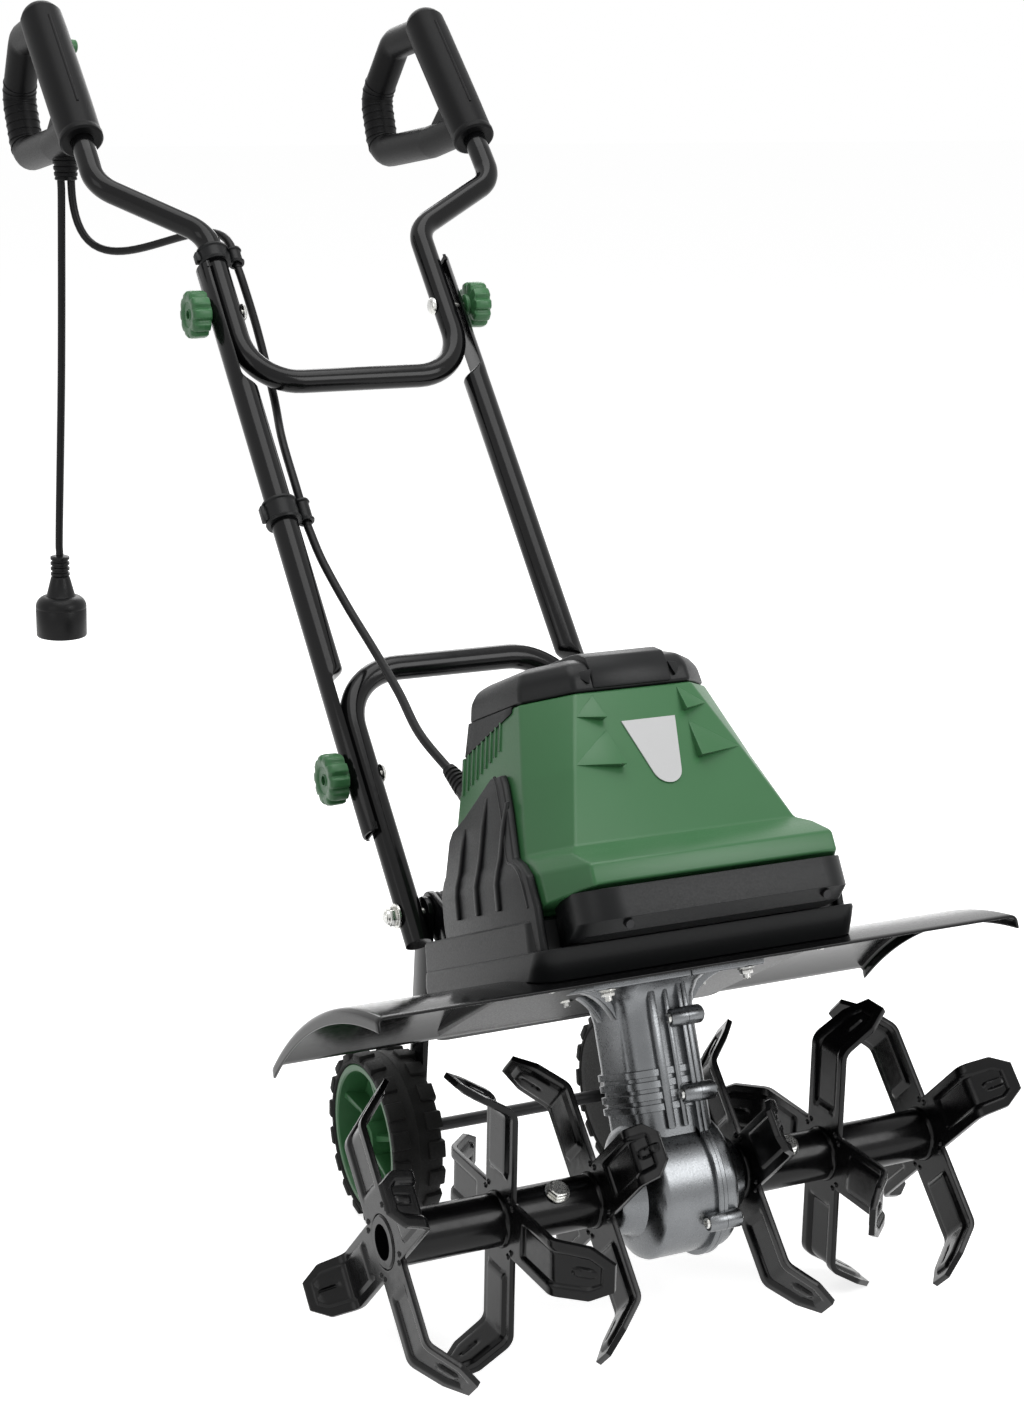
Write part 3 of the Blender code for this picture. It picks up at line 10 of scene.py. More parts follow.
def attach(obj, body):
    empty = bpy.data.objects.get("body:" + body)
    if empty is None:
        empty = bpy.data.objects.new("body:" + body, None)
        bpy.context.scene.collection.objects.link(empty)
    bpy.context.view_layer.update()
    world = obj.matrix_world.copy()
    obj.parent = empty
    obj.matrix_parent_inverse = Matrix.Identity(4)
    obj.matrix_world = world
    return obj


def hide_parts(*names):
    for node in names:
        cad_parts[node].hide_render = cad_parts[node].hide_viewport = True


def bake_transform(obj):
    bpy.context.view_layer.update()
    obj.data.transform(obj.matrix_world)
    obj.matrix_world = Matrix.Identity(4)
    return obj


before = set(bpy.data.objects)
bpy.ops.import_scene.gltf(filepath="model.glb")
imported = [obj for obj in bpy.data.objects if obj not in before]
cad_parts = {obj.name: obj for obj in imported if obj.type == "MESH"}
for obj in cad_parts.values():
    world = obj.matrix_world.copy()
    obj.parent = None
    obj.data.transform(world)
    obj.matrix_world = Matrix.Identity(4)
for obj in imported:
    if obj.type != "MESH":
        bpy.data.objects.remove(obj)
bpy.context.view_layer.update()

TILLER = bpy.data.collections.new("tiller_looks")
bpy.context.scene.collection.children.link(TILLER)

# %% [markdown]
# ## The camera
# A product photographer stands a little to the left of the machine and slightly above it, with a long
# lens so that the handle does not splay. The camera could be aimed by hand in the viewport; here its
# direction is written as three angles, which are easy to read and to repeat.

# %% Camera
PHOTO = (1024, 1401)
FOCAL_PIXELS = 2607.0
SENSOR = 36.0
CAMERA_AT = (-0.850, -1.8793, 0.911)
AZIMUTH = math.radians(-26.33)
ELEVATION = math.radians(15.0)
ROLL = math.radians(1.11)

camera = bpy.data.objects.new("camera", bpy.data.cameras.new("camera"))
bpy.context.scene.collection.objects.link(camera)
camera.data.sensor_width = SENSOR
camera.data.lens = FOCAL_PIXELS / max(PHOTO) * SENSOR
aim = Matrix.Rotation(AZIMUTH, 4, "Z") @ Matrix.Rotation(math.pi / 2 - ELEVATION, 4, "X")
camera.matrix_world = Matrix.Translation(CAMERA_AT) @ aim @ Matrix.Rotation(ROLL, 4, "Z")
bpy.context.scene.camera = camera
bpy.context.scene.view_settings.view_transform = "Standard"
print(f"lens {camera.data.lens:.1f} mm")

# %% [markdown]
# ## Nodes and colours
# Every finish below is a small node tree. One function adds a node with its settings and links, and
# another turns a hex colour, as a paint chart gives it, into the linear values that shaders work in.


# %% Node and colour helpers
def linear(code):
    """A hex colour as linear red, green, blue and alpha."""
    shares = [int(code[at : at + 2], 16) / 255 for at in (1, 3, 5)]
    return (*[s / 12.92 if s <= 0.04045 else ((s + 0.055) / 1.055) ** 2.4 for s in shares], 1.0)


def add_node(tree, kind, inputs=None, **settings):
    """A node with its settings, its constants and its links from other nodes' outputs."""
    made = tree.nodes.new(kind)
    for key, value in settings.items():
        setattr(made, key, value)
    for socket, value in (inputs or {}).items():
        if isinstance(value, bpy.types.NodeSocket):
            tree.links.new(value, made.inputs[socket])
        else:
            made.inputs[socket].default_value = value
    return made


def per_mm(size):
    """The texture scale whose features are about this many millimetres across."""
    return 1000.0 / size


def looked_at(tree, **settings):
    """An output that is 1 where the camera, a reflection or a clear body looks, and 0 elsewhere."""
    path = add_node(tree, "ShaderNodeLightPath").outputs
    direct = add_node(tree, "ShaderNodeMath", {0: path["Is Camera Ray"], 1: path["Is Glossy Ray"]})
    through = {0: direct.outputs[0], 1: path["Is Transmission Ray"]}
    return add_node(tree, "ShaderNodeMath", through, **settings).outputs[0]


# %% [markdown]
# ## Floor, background and light
# The set is a pale sweep under large soft boxes. The floor adds some light of its own where the
# camera or a reflection looks at it, so that it reads as white paper while the shadow stays. The key
# light stands in front on the right, a weaker one on the left, and a broad one hangs overhead: tubes
# painted gloss black are seen only by the long white streaks that these boxes leave on them.

# %% Floor
FLOOR_HALF = 14.0
FLOOR_COLOUR = linear("#E6E6E6")
PAPER_GLOW = 0.80

floor_mesh = bpy.data.meshes.new("floor")
floor_bm = bmesh.new()
bmesh.ops.create_grid(floor_bm, x_segments=1, y_segments=1, size=FLOOR_HALF)
floor_bm.to_mesh(floor_mesh)
floor_bm.free()
floor = bpy.data.objects.new("floor", floor_mesh)
bpy.context.scene.collection.objects.link(floor)
paper = bpy.data.materials.new("matt_background_paper")
paper.use_nodes = True
tree = paper.node_tree
tree.nodes.clear()
seen = looked_at(tree)
glow = add_node(tree, "ShaderNodeMath", {0: seen, 1: PAPER_GLOW}, operation="MULTIPLY", use_clamp=True)
sheet = add_node(tree, "ShaderNodeBsdfDiffuse", {"Color": FLOOR_COLOUR})
light = add_node(tree, "ShaderNodeEmission", {"Strength": glow.outputs[0]})
both = add_node(tree, "ShaderNodeAddShader", {0: sheet.outputs[0], 1: light.outputs[0]})
add_node(tree, "ShaderNodeOutputMaterial", {"Surface": both.outputs[0]})
floor_mesh.materials.append(paper)
print("floor", FLOOR_HALF * 2, "m")

# %% World and lamps
WORLD_FILL = 0.24
world = bpy.data.worlds.new("studio")
world.use_nodes = True
tree = world.node_tree
tree.nodes.clear()
seen = looked_at(tree, use_clamp=True)
level = add_node(tree, "ShaderNodeMapRange", {"Value": seen, "To Min": WORLD_FILL, "To Max": 1.0})
sky = add_node(tree, "ShaderNodeBackground", {"Color": (1.0, 1.0, 1.0, 1.0), "Strength": level.outputs[0]})
add_node(tree, "ShaderNodeOutputWorld", {"Surface": sky.outputs[0]})
bpy.context.scene.world = world

# Name, place, size in metres and power in watts of each soft box.
SOFT_BOXES = (
    ("key_box", (1.3, -2.2, 1.9), 1.5, 34.0),
    ("left_box", (-2.3, -0.9, 1.3), 1.2, 6.0),
    ("top_box", (0.0, -0.1, 2.6), 1.8, 30.0),
    ("rear_box", (0.8, 2.2, 1.5), 1.4, 16.0),
)
LIGHT_TARGET = Vector((0.0, -0.1, 0.40))
for name, place, size, power in SOFT_BOXES:
    lamp = bpy.data.lights.new(name, "AREA")
    lamp.shape = "SQUARE"
    lamp.size = size
    lamp.energy = power
    holder = bpy.data.objects.new(name, lamp)
    bpy.context.scene.collection.objects.link(holder)
    turn = (LIGHT_TARGET - Vector(place)).to_track_quat("-Z", "Y").to_matrix().to_4x4()
    holder.matrix_world = Matrix.Translation(place) @ turn
print(len(SOFT_BOXES), "soft boxes")

# %% [markdown]
# ## Finishes
# Each finish is named for its real material. They share one base: a slow drift between two close
# tones, as paint and moulded plastic have, and a fine grain that moves the gloss and stands up as a
# bump. The grain of a moulded or painted skin is a few tenths of a millimetre, which would be lost in
# the picture, so it is drawn about three times as coarse.


# %% The base of every finish
def finish(name, tones, drift, grain, bump, gloss, **sockets):
    """A material from two tones, its drift, grain and bump in mm, and two roughnesses."""
    material = bpy.data.materials.new(name)
    material.use_nodes = True
    tree = material.node_tree
    shader = tree.nodes["Principled BSDF"]
    where = add_node(tree, "ShaderNodeTexCoord").outputs["Object"]
    slow = add_node(tree, "ShaderNodeTexNoise", {"Vector": where, "Scale": per_mm(drift), "Detail": 3.0})
    two_tones = {0: slow.outputs[0], 6: linear(tones[0]), 7: linear(tones[1])}
    tone = add_node(tree, "ShaderNodeMix", two_tones, data_type="RGBA")
    tree.links.new(tone.outputs[2], shader.inputs["Base Color"])
    fine = add_node(tree, "ShaderNodeTexNoise", {"Vector": where, "Scale": per_mm(grain), "Detail": 4.0})
    spread = {"From Min": 0.3, "From Max": 0.7, "To Min": gloss[0], "To Max": gloss[1]}
    rough = add_node(tree, "ShaderNodeMapRange", {"Value": fine.outputs[0], **spread})
    tree.links.new(rough.outputs[0], shader.inputs["Roughness"])
    lift = {"Height": fine.outputs[0], "Strength": 1.0, "Distance": bump / 1000.0}
    relief = add_node(tree, "ShaderNodeBump", lift)
    tree.links.new(relief.outputs[0], shader.inputs["Normal"])
    for socket, value in sockets.items():
        shader.inputs[socket.replace("_", " ")].default_value = value
    return material


# %% Paints and plastics
# Stoved gloss enamel on bent tube and pressed sheet: near black, wet streaks with faint orange peel.
TUBE_ENAMEL = finish(
    "stoved_black_enamel", ("#0B0B0C", "#101011"), 60.0, 4.0, 0.010, (0.12, 0.19), Specular_IOR_Level=0.22
)
# Tine steel under a thinner dipped coat: a shade greyer and a little more uneven than the tubes.
TINE_ENAMEL = finish(
    "dipped_black_enamel", ("#09090A", "#0F0F10"), 34.0, 5.0, 0.008, (0.18, 0.27), Specular_IOR_Level=0.22
)
# Glass-filled nylon with a spark-eroded texture: dark grey, wide soft highlights.
HOUSING_NYLON = finish(
    "black_moulded_nylon", ("#0E0F10", "#141516"), 45.0, 1.3, 0.024, (0.33, 0.45), Specular_IOR_Level=0.20
)
# Soft-touch polypropylene on the grips: a bit warmer and duller than the housing.
GRIP_POLYPROPYLENE = finish(
    "grip_polypropylene", ("#0B0B0C", "#101011"), 40.0, 1.1, 0.030, (0.36, 0.48), Specular_IOR_Level=0.11
)
# Dyed ABS for the cover, rims, knobs, lever and button: sage green with a satin skin.
COVER_ABS = finish(
    "sage_green_abs", ("#37683F", "#3E7148"), 80.0, 1.4, 0.018, (0.30, 0.40), Specular_IOR_Level=0.34
)
# Flexible PVC of the leads: very dark grey, smooth, with a slow drift from the extruder.
CORD_PVC = finish(
    "black_cord_pvc", ("#0E0E0F", "#141415"), 25.0, 1.6, 0.020, (0.32, 0.44), Specular_IOR_Level=0.18
)
# Natural rubber with carbon black: almost no gloss, a dusty bloom in patches.
TYRE_RUBBER = finish(
    "carbon_black_rubber", ("#101010", "#181817"), 18.0, 1.2, 0.060, (0.55, 0.75), Specular_IOR_Level=0.18
)
# Hard glossy plate: white acrylic let into the front of the cover.
PLATE_ACRYLIC = finish(
    "white_acrylic", ("#C6C7C7", "#CFCFD0"), 50.0, 2.4, 0.010, (0.20, 0.28), Specular_IOR_Level=0.30
)
print("enamels, nylon, ABS, PVC, rubber and acrylic")

# %% Metals
# Die-cast aluminium, blasted and lacquered: mid grey with a sandy sparkle.
CASE_ALUMINIUM = finish(
    "blasted_cast_aluminium", ("#6A6C6E", "#808284"), 22.0, 1.2, 0.040, (0.24, 0.37), Metallic=1.0
)
# Bright zinc plate on bolts, washers and nuts: pale, with a faint bluish-yellow drift.
BOLT_ZINC = finish("bright_zinc_plate", ("#C4C6C8", "#D8D6CE"), 9.0, 1.0, 0.020, (0.20, 0.34), Metallic=1.0)
# Phosphated steel of springs and axle: dark, oily and half dull.
SPRING_STEEL = finish(
    "phosphated_steel", ("#2B2B2C", "#3A3A3B"), 12.0, 1.1, 0.030, (0.34, 0.48), Metallic=0.9
)
# Ground steel of shafts, gears and bearings inside the case: bright rings under a film of grease.
SHAFT_STEEL = finish("ground_steel", ("#8E8F91", "#A3A4A6"), 14.0, 0.9, 0.015, (0.22, 0.32), Metallic=1.0)
# Varnished windings and laminations of the motor: copper brown with a resin gloss.
MOTOR_WINDING = finish(
    "varnished_copper", ("#6E3A1C", "#8A4B26"), 6.0, 1.5, 0.120, (0.26, 0.40), Metallic=0.8
)
print("cast aluminium, zinc, steels and windings")

# %% Finishes of the nodes that keep their own shape
# The pieces inside the case and the housing are right as they are and only take a finish.
INSIDE = {
    "tine_shaft": SHAFT_STEEL,
    "crown_gear": SHAFT_STEEL,
    "drive_shaft": SHAFT_STEEL,
    "left_tine_bearing": SHAFT_STEEL,
    "right_tine_bearing": SHAFT_STEEL,
    "armature": MOTOR_WINDING,
    "motor_stator": MOTOR_WINDING,
}
for node_name, inside_finish in INSIDE.items():
    node_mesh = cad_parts[node_name].data
    node_mesh.materials.clear()
    node_mesh.materials.append(inside_finish)
print(len(INSIDE), "inner nodes finished")

# %% [markdown]
# ## Frames of the real assembly
# The machine is built up in a few tilted frames: the chassis leans back on its wheels, the handle
# rises at its own slope and each grip leans a little more. Modelling a piece square in its own frame
# and then moving the mesh into place keeps every number a size that could be measured on the machine.

# %% Frames
GROUND_Y = -0.4223
TINE_R = 0.110
KNOB_STEP = 0.437
CHASSIS_TILT = -23.5
HANDLE_TILT = 47.0
GRIP_TILT = -5.5
GRIP_X = 0.184
GRIP_Y = 0.183
HANDS = {-1: "left", 1: "right"}


def placed(y, z, tilt=0.0):
    """A frame across the machine at a distance behind the tine axis and a height, tilted about X."""
    turn = Matrix.Rotation(math.radians(tilt), 4, "X")
    return Matrix.Translation((0.0, y + GROUND_Y, z)) @ turn


CHASSIS = placed(0.0, TINE_R, CHASSIS_TILT)
TINE_AXIS = placed(0.0, TINE_R)
WHEEL_AXIS = placed(0.243, 0.067)
PIVOT_AXIS = placed(0.2285, 0.2497)
FOLD = placed(0.309, 0.336, HANDLE_TILT)
UPPER = FOLD @ Matrix.Translation((0.0, KNOB_STEP, 0.0))
GRIP_LEAN = Matrix.Rotation(math.radians(GRIP_TILT), 4, "X")
GRIPS = {side: UPPER @ Matrix.Translation((side * GRIP_X, GRIP_Y, 0.0)) @ GRIP_LEAN for side in HANDS}
# A shape that is modelled along X for the right: mirrored to a side, or turned to lie along Y.
FLIP = {side: Matrix.Scale(side, 4, (1, 0, 0)) for side in HANDS}
ALONG_Y = Matrix.Rotation(math.pi / 2, 4, "Z")
print("frames for chassis, tines, wheels, pivots, handle and grips")

# %% [markdown]
# ## Turning a mesh into a piece
# Every piece goes through the same last steps: doubles are merged, faces turned outwards, curved
# faces shaded smooth while real edges stay crisp, and the piece is hung on the body of the machine it
# moves with, while the plain solids it stands for are hidden. A narrow Bevel softens the edges, because
# no moulded, cast or pressed edge is razor sharp, and that is where the light catches.


# %% Piece helpers
MERGE_DISTANCE = 0.00001
JOIN_DISTANCE = 0.000005
CUT_EDGE_ANGLE = math.radians(50.0)


def add_piece(name, bm, material, body, nodes=(), edge=0.0, crease=38.0):
    """Make a mesh into one piece that rides on a body where one is given, and hide the nodes it replaces.
    """
    bmesh.ops.remove_doubles(bm, verts=bm.verts, dist=MERGE_DISTANCE)
    bmesh.ops.recalc_face_normals(bm, faces=bm.faces)
    mesh = bpy.data.meshes.new(name)
    bm.to_mesh(mesh)
    bm.free()
    mesh.shade_smooth()
    mesh.set_sharp_from_angle(angle=math.radians(crease))
    mesh.materials.append(material)
    piece = bpy.data.objects.new(name, mesh)
    TILLER.objects.link(piece)
    if edge:
        rounded_edges(piece, edge, math.radians(crease))
    if body:
        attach(piece, body)
    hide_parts(*nodes)
    print(f"{name}: {len(mesh.polygons)} faces")
    return piece


def rounded_edges(piece, width, least):
    """A narrow Bevel on every edge sharper than an angle."""
    bevel = piece.modifiers.new("softened_edges", "BEVEL")
    bevel.width = width
    bevel.segments = 2
    bevel.limit_method = "ANGLE"
    bevel.angle_limit = least
    bevel.use_clamp_overlap = True


def thickened(piece, sheet, offset, worn):
    """Give a flat piece the thickness of its sheet, and round its cut edges."""
    wall = piece.modifiers.new("sheet", "SOLIDIFY")
    wall.thickness = sheet
    wall.offset = offset
    rounded_edges(piece, worn, CUT_EDGE_ANGLE)


def joined(bm, shape, place):
    """Add a shape to a piece under construction, moved into its frame."""
    bmesh.ops.remove_doubles(shape, verts=shape.verts, dist=JOIN_DISTANCE)
    bmesh.ops.recalc_face_normals(shape, faces=shape.faces)
    bmesh.ops.transform(shape, matrix=place, verts=shape.verts)
    carrier = bpy.data.meshes.new("carrier")
    shape.to_mesh(carrier)
    shape.free()
    bm.from_mesh(carrier)
    bpy.data.meshes.remove(carrier)


def assembled(place, *shapes):
    """A new mesh from shapes that are all moved into one frame."""
    bm = bmesh.new()
    for shape in shapes:
        joined(bm, shape, place)
    return bm


print("helpers for pieces")

# %% [markdown]
# ## Paths
# Leads and tubes both follow a line. A lead passes smoothly through a few listed points, and a bent
# tube is straight runs with an arc at every bend. A bevelled curve draws either one; it is turned into a
# mesh at once, so that it can be joined with other shapes.

# %% Path helpers
FINE_STEPS = 24
LEAST_BEND = math.radians(1.0)


def between(span, share):
    """The value at a share of the way from one end of a span to the other."""
    return span[0] + (span[1] - span[0]) * share


def facing(way):
    """The turn that lays the X axis along a direction."""
    return Vector((1.0, 0.0, 0.0)).rotation_difference(way).to_matrix().to_4x4()


def smooth_route(route, count):
    """Points evenly spaced along a smooth curve through the route's own points."""
    knots = [Vector(point) for point in route]
    ends = [knots[0] * 2 - knots[1], *knots, knots[-1] * 2 - knots[-2]]
    fine = []
    for a, b, c, d in zip(ends, ends[1:], ends[2:], ends[3:]):
        for step in range(FINE_STEPS):
            t = step / FINE_STEPS
            rise = (c - a) * t
            ease = (2 * a - 5 * b + 4 * c - d) * t**2
            swing = (3 * b - a - 3 * c + d) * t**3
            fine.append(b + (rise + ease + swing) / 2)
    fine.append(knots[-1])
    lengths = [0.0]
    for a, b in zip(fine, fine[1:]):
        lengths.append(lengths[-1] + (b - a).length)
    points = []
    index = 0
    for step in range(count):
        wanted = lengths[-1] * step / (count - 1)
        while index < len(fine) - 2 and lengths[index + 1] < wanted:
            index += 1
        share = (wanted - lengths[index]) / (lengths[index + 1] - lengths[index])
        points.append(fine[index].lerp(fine[index + 1], share))
    return points


def rounded_path(corners, radii, steps):
    """A path of straight runs whose inner corners are rounded to their own radii."""
    corners = [Vector(corner) for corner in corners]
    path = [corners[0]]
    for before, corner, after, radius in zip(corners, corners[1:], corners[2:], radii):
        into = (corner - before).normalized()
        out = (after - corner).normalized()
        bend = into.angle(out)
        if bend < LEAST_BEND:
            continue
        reach = radius * math.tan(bend / 2)
        centre = corner + (out - into).normalized() * radius / math.cos(bend / 2)
        start = corner - into * reach
        end = corner + out * reach
        for step in range(steps + 1):
            spot = start.lerp(corner, step / steps).lerp(corner.lerp(end, step / steps), step / steps)
            path.append(centre + (spot - centre).normalized() * radius)
    path.append(corners[-1])
    return path


def bar(points, radius, resolution, wall=0.0):
    """A round bar along a path, swept as a bevelled curve; with a wall it is a tube with sunk ends."""
    curve = bpy.data.curves.new("sweep", "CURVE")
    curve.dimensions = "3D"
    curve.bevel_depth = radius
    curve.bevel_resolution = resolution
    curve.use_fill_caps = True
    spline = curve.splines.new("POLY")
    spline.points.add(len(points) - 1)
    for knot, point in zip(spline.points, points):
        knot.co = (*point, 1.0)
    guide = bpy.data.objects.new("sweep", curve)
    TILLER.objects.link(guide)
    graph = bpy.context.evaluated_depsgraph_get()
    swept = bpy.data.meshes.new_from_object(guide.evaluated_get(graph))
    bpy.data.objects.remove(guide, do_unlink=True)
    shape = bmesh.new()
    shape.from_mesh(swept)
    bpy.data.meshes.remove(swept)
    bmesh.ops.remove_doubles(shape, verts=shape.verts, dist=MERGE_DISTANCE)
    bmesh.ops.recalc_face_normals(shape, faces=shape.faces)
    if wall:
        sunk_ends(shape, wall, wall * 0.1, radius * 1.6)
    return shape


def sunk_ends(shape, wall, taper, deep):
    """Sink the end faces of a tube inside a wall, so that it looks open."""
    ends = [face for face in shape.faces if len(face.verts) > 4]
    bmesh.ops.inset_individual(shape, faces=ends, thickness=wall, depth=0.0)
    bmesh.ops.inset_individual(shape, faces=ends, thickness=taper, depth=-deep)


print("helpers for paths")

# %% [markdown]
# ## Shapes
# Nearly every solid of the machine is one of a few kinds: turned on a lathe, cut from plate, moulded
# through a row of sections, or a block. Each kind has one function here that returns a mesh of its
# own, square in its frame, with its edges rounded as that way of making leaves them.

# %% Shape helpers
HEX_EDGE = 0.0006


def turned(profile, steps):
    """A profile of (distance along X, radius) points spun about the X axis."""
    shape = bmesh.new()
    points = [shape.verts.new((along, 0.0, radius)) for along, radius in profile]
    pairs = list(zip(points, points[1:]))
    if profile[0][1] > 0.0:
        pairs.append((points[-1], points[0]))
    edges = [shape.edges.new(pair) for pair in pairs]
    bmesh.ops.spin(
        shape,
        geom=points + edges,
        axis=(1, 0, 0),
        cent=(0, 0, 0),
        angle=math.tau,
        steps=steps,
        use_merge=True,
    )
    return shape


def ring_line(span, inner, outer):
    """The profile of a plain ring, or of a rod where the inner radius is 0."""
    return [(span[0], inner), (span[0], outer), (span[1], outer), (span[1], inner)]


def softened(shape, width, segments=2, least=35.0, clamp=False):
    """Round a shape's own edges where two faces meet at more than an angle."""
    bmesh.ops.bevel(
        shape,
        geom=[edge for edge in shape.edges if edge.calc_face_angle(0.0) > math.radians(least)],
        offset=width,
        segments=segments,
        profile=0.5,
        affect="EDGES",
        material=-1,
        clamp_overlap=clamp,
    )
    return shape


def box(x_span, y_span, z_span, edge, segments=2):
    """A block between two corners with rounded edges."""
    shape = bmesh.new()
    bmesh.ops.create_cube(shape, size=1.0)
    spans = (x_span, y_span, z_span)
    bmesh.ops.scale(shape, vec=[abs(b - a) for a, b in spans], verts=shape.verts)
    bmesh.ops.translate(shape, vec=[(a + b) / 2 for a, b in spans], verts=shape.verts)
    return softened(shape, edge, segments)


def drawn_out(corners, shift):
    """A face through some corners drawn out into a slab, and the corners that moved."""
    shape = bmesh.new()
    face = shape.faces.new([shape.verts.new(corner) for corner in corners])
    grown = bmesh.ops.extrude_face_region(shape, geom=[face])["geom"]
    moved = [item for item in grown if isinstance(item, bmesh.types.BMVert)]
    bmesh.ops.translate(shape, vec=shift, verts=moved)
    return shape, moved


def plate(outline, x_span, edge):
    """A flat outline of (y, z) points given a thickness along X."""
    corners = [(x_span[0], y, z) for y, z in outline]
    shape, _ = drawn_out(corners, (x_span[1] - x_span[0], 0.0, 0.0))
    bmesh.ops.recalc_face_normals(shape, faces=shape.faces)
    return softened(shape, edge)


def loft(rings):
    """A hull through rings of points, each bridged to the next, with both ends closed."""
    shape = bmesh.new()
    loops = []
    for ring in rings:
        points = [shape.verts.new(point) for point in ring]
        loops.append([shape.edges.new(pair) for pair in zip(points, points[1:] + points[:1])])
    for lower, upper in zip(loops, loops[1:]):
        bmesh.ops.bridge_loops(shape, edges=lower + upper)
    for loop in (loops[0], loops[-1]):
        bmesh.ops.contextual_create(shape, geom=loop)
    bmesh.ops.recalc_face_normals(shape, faces=shape.faces)
    return shape


def level_row(inner, outer, near, far, z):
    """The four corners of a level section of a wall or rib."""
    return [(inner, near, z), (outer, near, z), (outer, far, z), (inner, far, z)]


def arc(centre, radius, start, stop, steps):
    """Points (a, b) on an arc between two angles in degrees."""
    turns = [math.radians(start + (stop - start) * step / steps) for step in range(steps + 1)]
    return [(centre[0] + radius * math.cos(t), centre[1] + radius * math.sin(t)) for t in turns]


def hexagon(x_span, radius):
    """A bolt head or nut along X with its corners turned off."""
    shape = bmesh.new()
    middle = Matrix.Translation((sum(x_span) / 2, 0.0, 0.0)) @ Matrix.Rotation(math.pi / 2, 4, "Y")
    depth = abs(x_span[1] - x_span[0])
    bmesh.ops.create_cone(
        shape, cap_ends=True, segments=6, radius1=radius, radius2=radius, depth=depth, matrix=middle
    )
    return softened(shape, HEX_EDGE, 2, 20.0)


print("helpers for shapes")

# %% [markdown]
# ## The leads
# The mains lead hangs straight down from the moulded boot under the left grip and ends in its plug.
# From the same boot a second lead loops under the crank to a clip on the handle, crosses the upper
# hinge to a second clip, and drops past the lower hinge into the motor housing. They could be curves
# with a bevel; they are made meshes here, and the two that cross a hinge ride on no body.

# %% Lead routes
CORD_R = 0.0035
CORD_STEPS = 41
CORD_SPREAD = 0.0046
BOOT_LENGTH = 0.034
LEAD_LENGTH = 0.335
LEAD_LEAN = 0.010
LEAD_STUB = 0.020
LOOP_DROP = 0.130
LOOP_APPROACH = 0.070
LOOP_END_Y = (0.0554, 0.0458)
FACE_GAP = 0.0003
UPPER_EYE = -0.079
MIDDLE_EYE = -0.086
UPPER_CLIP_Y = (0.0498, 0.0651)
MIDDLE_CLIP_Y = (0.2290, 0.2490)
BOOT_AT = Vector((0.008, 0.0555, -0.0530))

fall = Matrix.Rotation(math.radians(-HANDLE_TILT), 3, "X") @ Vector((0.0, 0.0, -1.0))
boot_start = Matrix.Translation((-GRIP_X, GRIP_Y, 0.0)) @ GRIP_LEAN @ BOOT_AT
mouth = boot_start + fall * (BOOT_LENGTH + FACE_GAP)
aside = Vector((CORD_SPREAD, 0.0, 0.0))
lead_top = mouth - aside
lead_hang = lead_top + fall * LEAD_LENGTH
lead_end = lead_hang - Vector((LEAD_LEAN, 0.0, 0.0))
lead_middle = lead_top.lerp(lead_hang, 0.5) - Vector((LEAD_LEAN * 0.4, 0.0, 0.0))
lead_stub = fall * LEAD_STUB
lead_route = [lead_top, lead_top + lead_stub, lead_middle, lead_end - lead_stub, lead_end]
loop_top = mouth + aside
eye_mouth = Vector((UPPER_EYE, UPPER_CLIP_Y[1], 0.0))
approach = eye_mouth + Vector((0.0, LOOP_APPROACH, 0.0))
loop_route = interpolate_bezier(loop_top, loop_top + fall * LOOP_DROP, approach, eye_mouth, CORD_STEPS)
loop_route += [Vector((UPPER_EYE, y, 0.0)) for y in LOOP_END_Y]
fold_route = [
    (UPPER_EYE, 0.4822, 0.0),
    (UPPER_EYE + 0.001, 0.467, -0.001),
    (UPPER_EYE + 0.006, 0.427, -0.012),
    (UPPER_EYE + 0.006, 0.3655, -0.019),
    (MIDDLE_EYE + 0.004, 0.315, -0.008),
    (MIDDLE_EYE, 0.263, 0.0),
    (MIDDLE_EYE, 0.249, 0.0),
    (MIDDLE_EYE, 0.225, 0.0),
]
motor_route = [
    (MIDDLE_EYE, 0.2244, 0.0),
    (-0.0845, 0.190, 0.0040),
    (-0.0800, 0.140, 0.0150),
    (-0.0775, 0.090, 0.0330),
    (-0.0790, 0.040, 0.0560),
    (-0.0835, -0.008, 0.0790),
    (-0.0790, -0.0546, 0.1026),
]


def lead_piece(name, route, place, node, body):
    """A lead along its route, and the points and the length of its centreline."""
    points = [place @ point for point in smooth_route(route, CORD_STEPS)]
    length = sum((b - a).length for a, b in zip(points, points[1:]))
    piece = add_piece(name, bar(points, CORD_R, 4), CORD_PVC, body, [node])
    print(f"{name} is {length * 1000:.0f} mm long")
    return piece, points, length


# %% Plug
PLUG_LENGTH = 0.075
PLUG_R = 0.0230
RELIEF_R = 0.0086
RELIEF_END = 0.0195
RELIEF_RINGS = 4
PIN_R = 0.0024
PIN_SPREAD = 0.0095

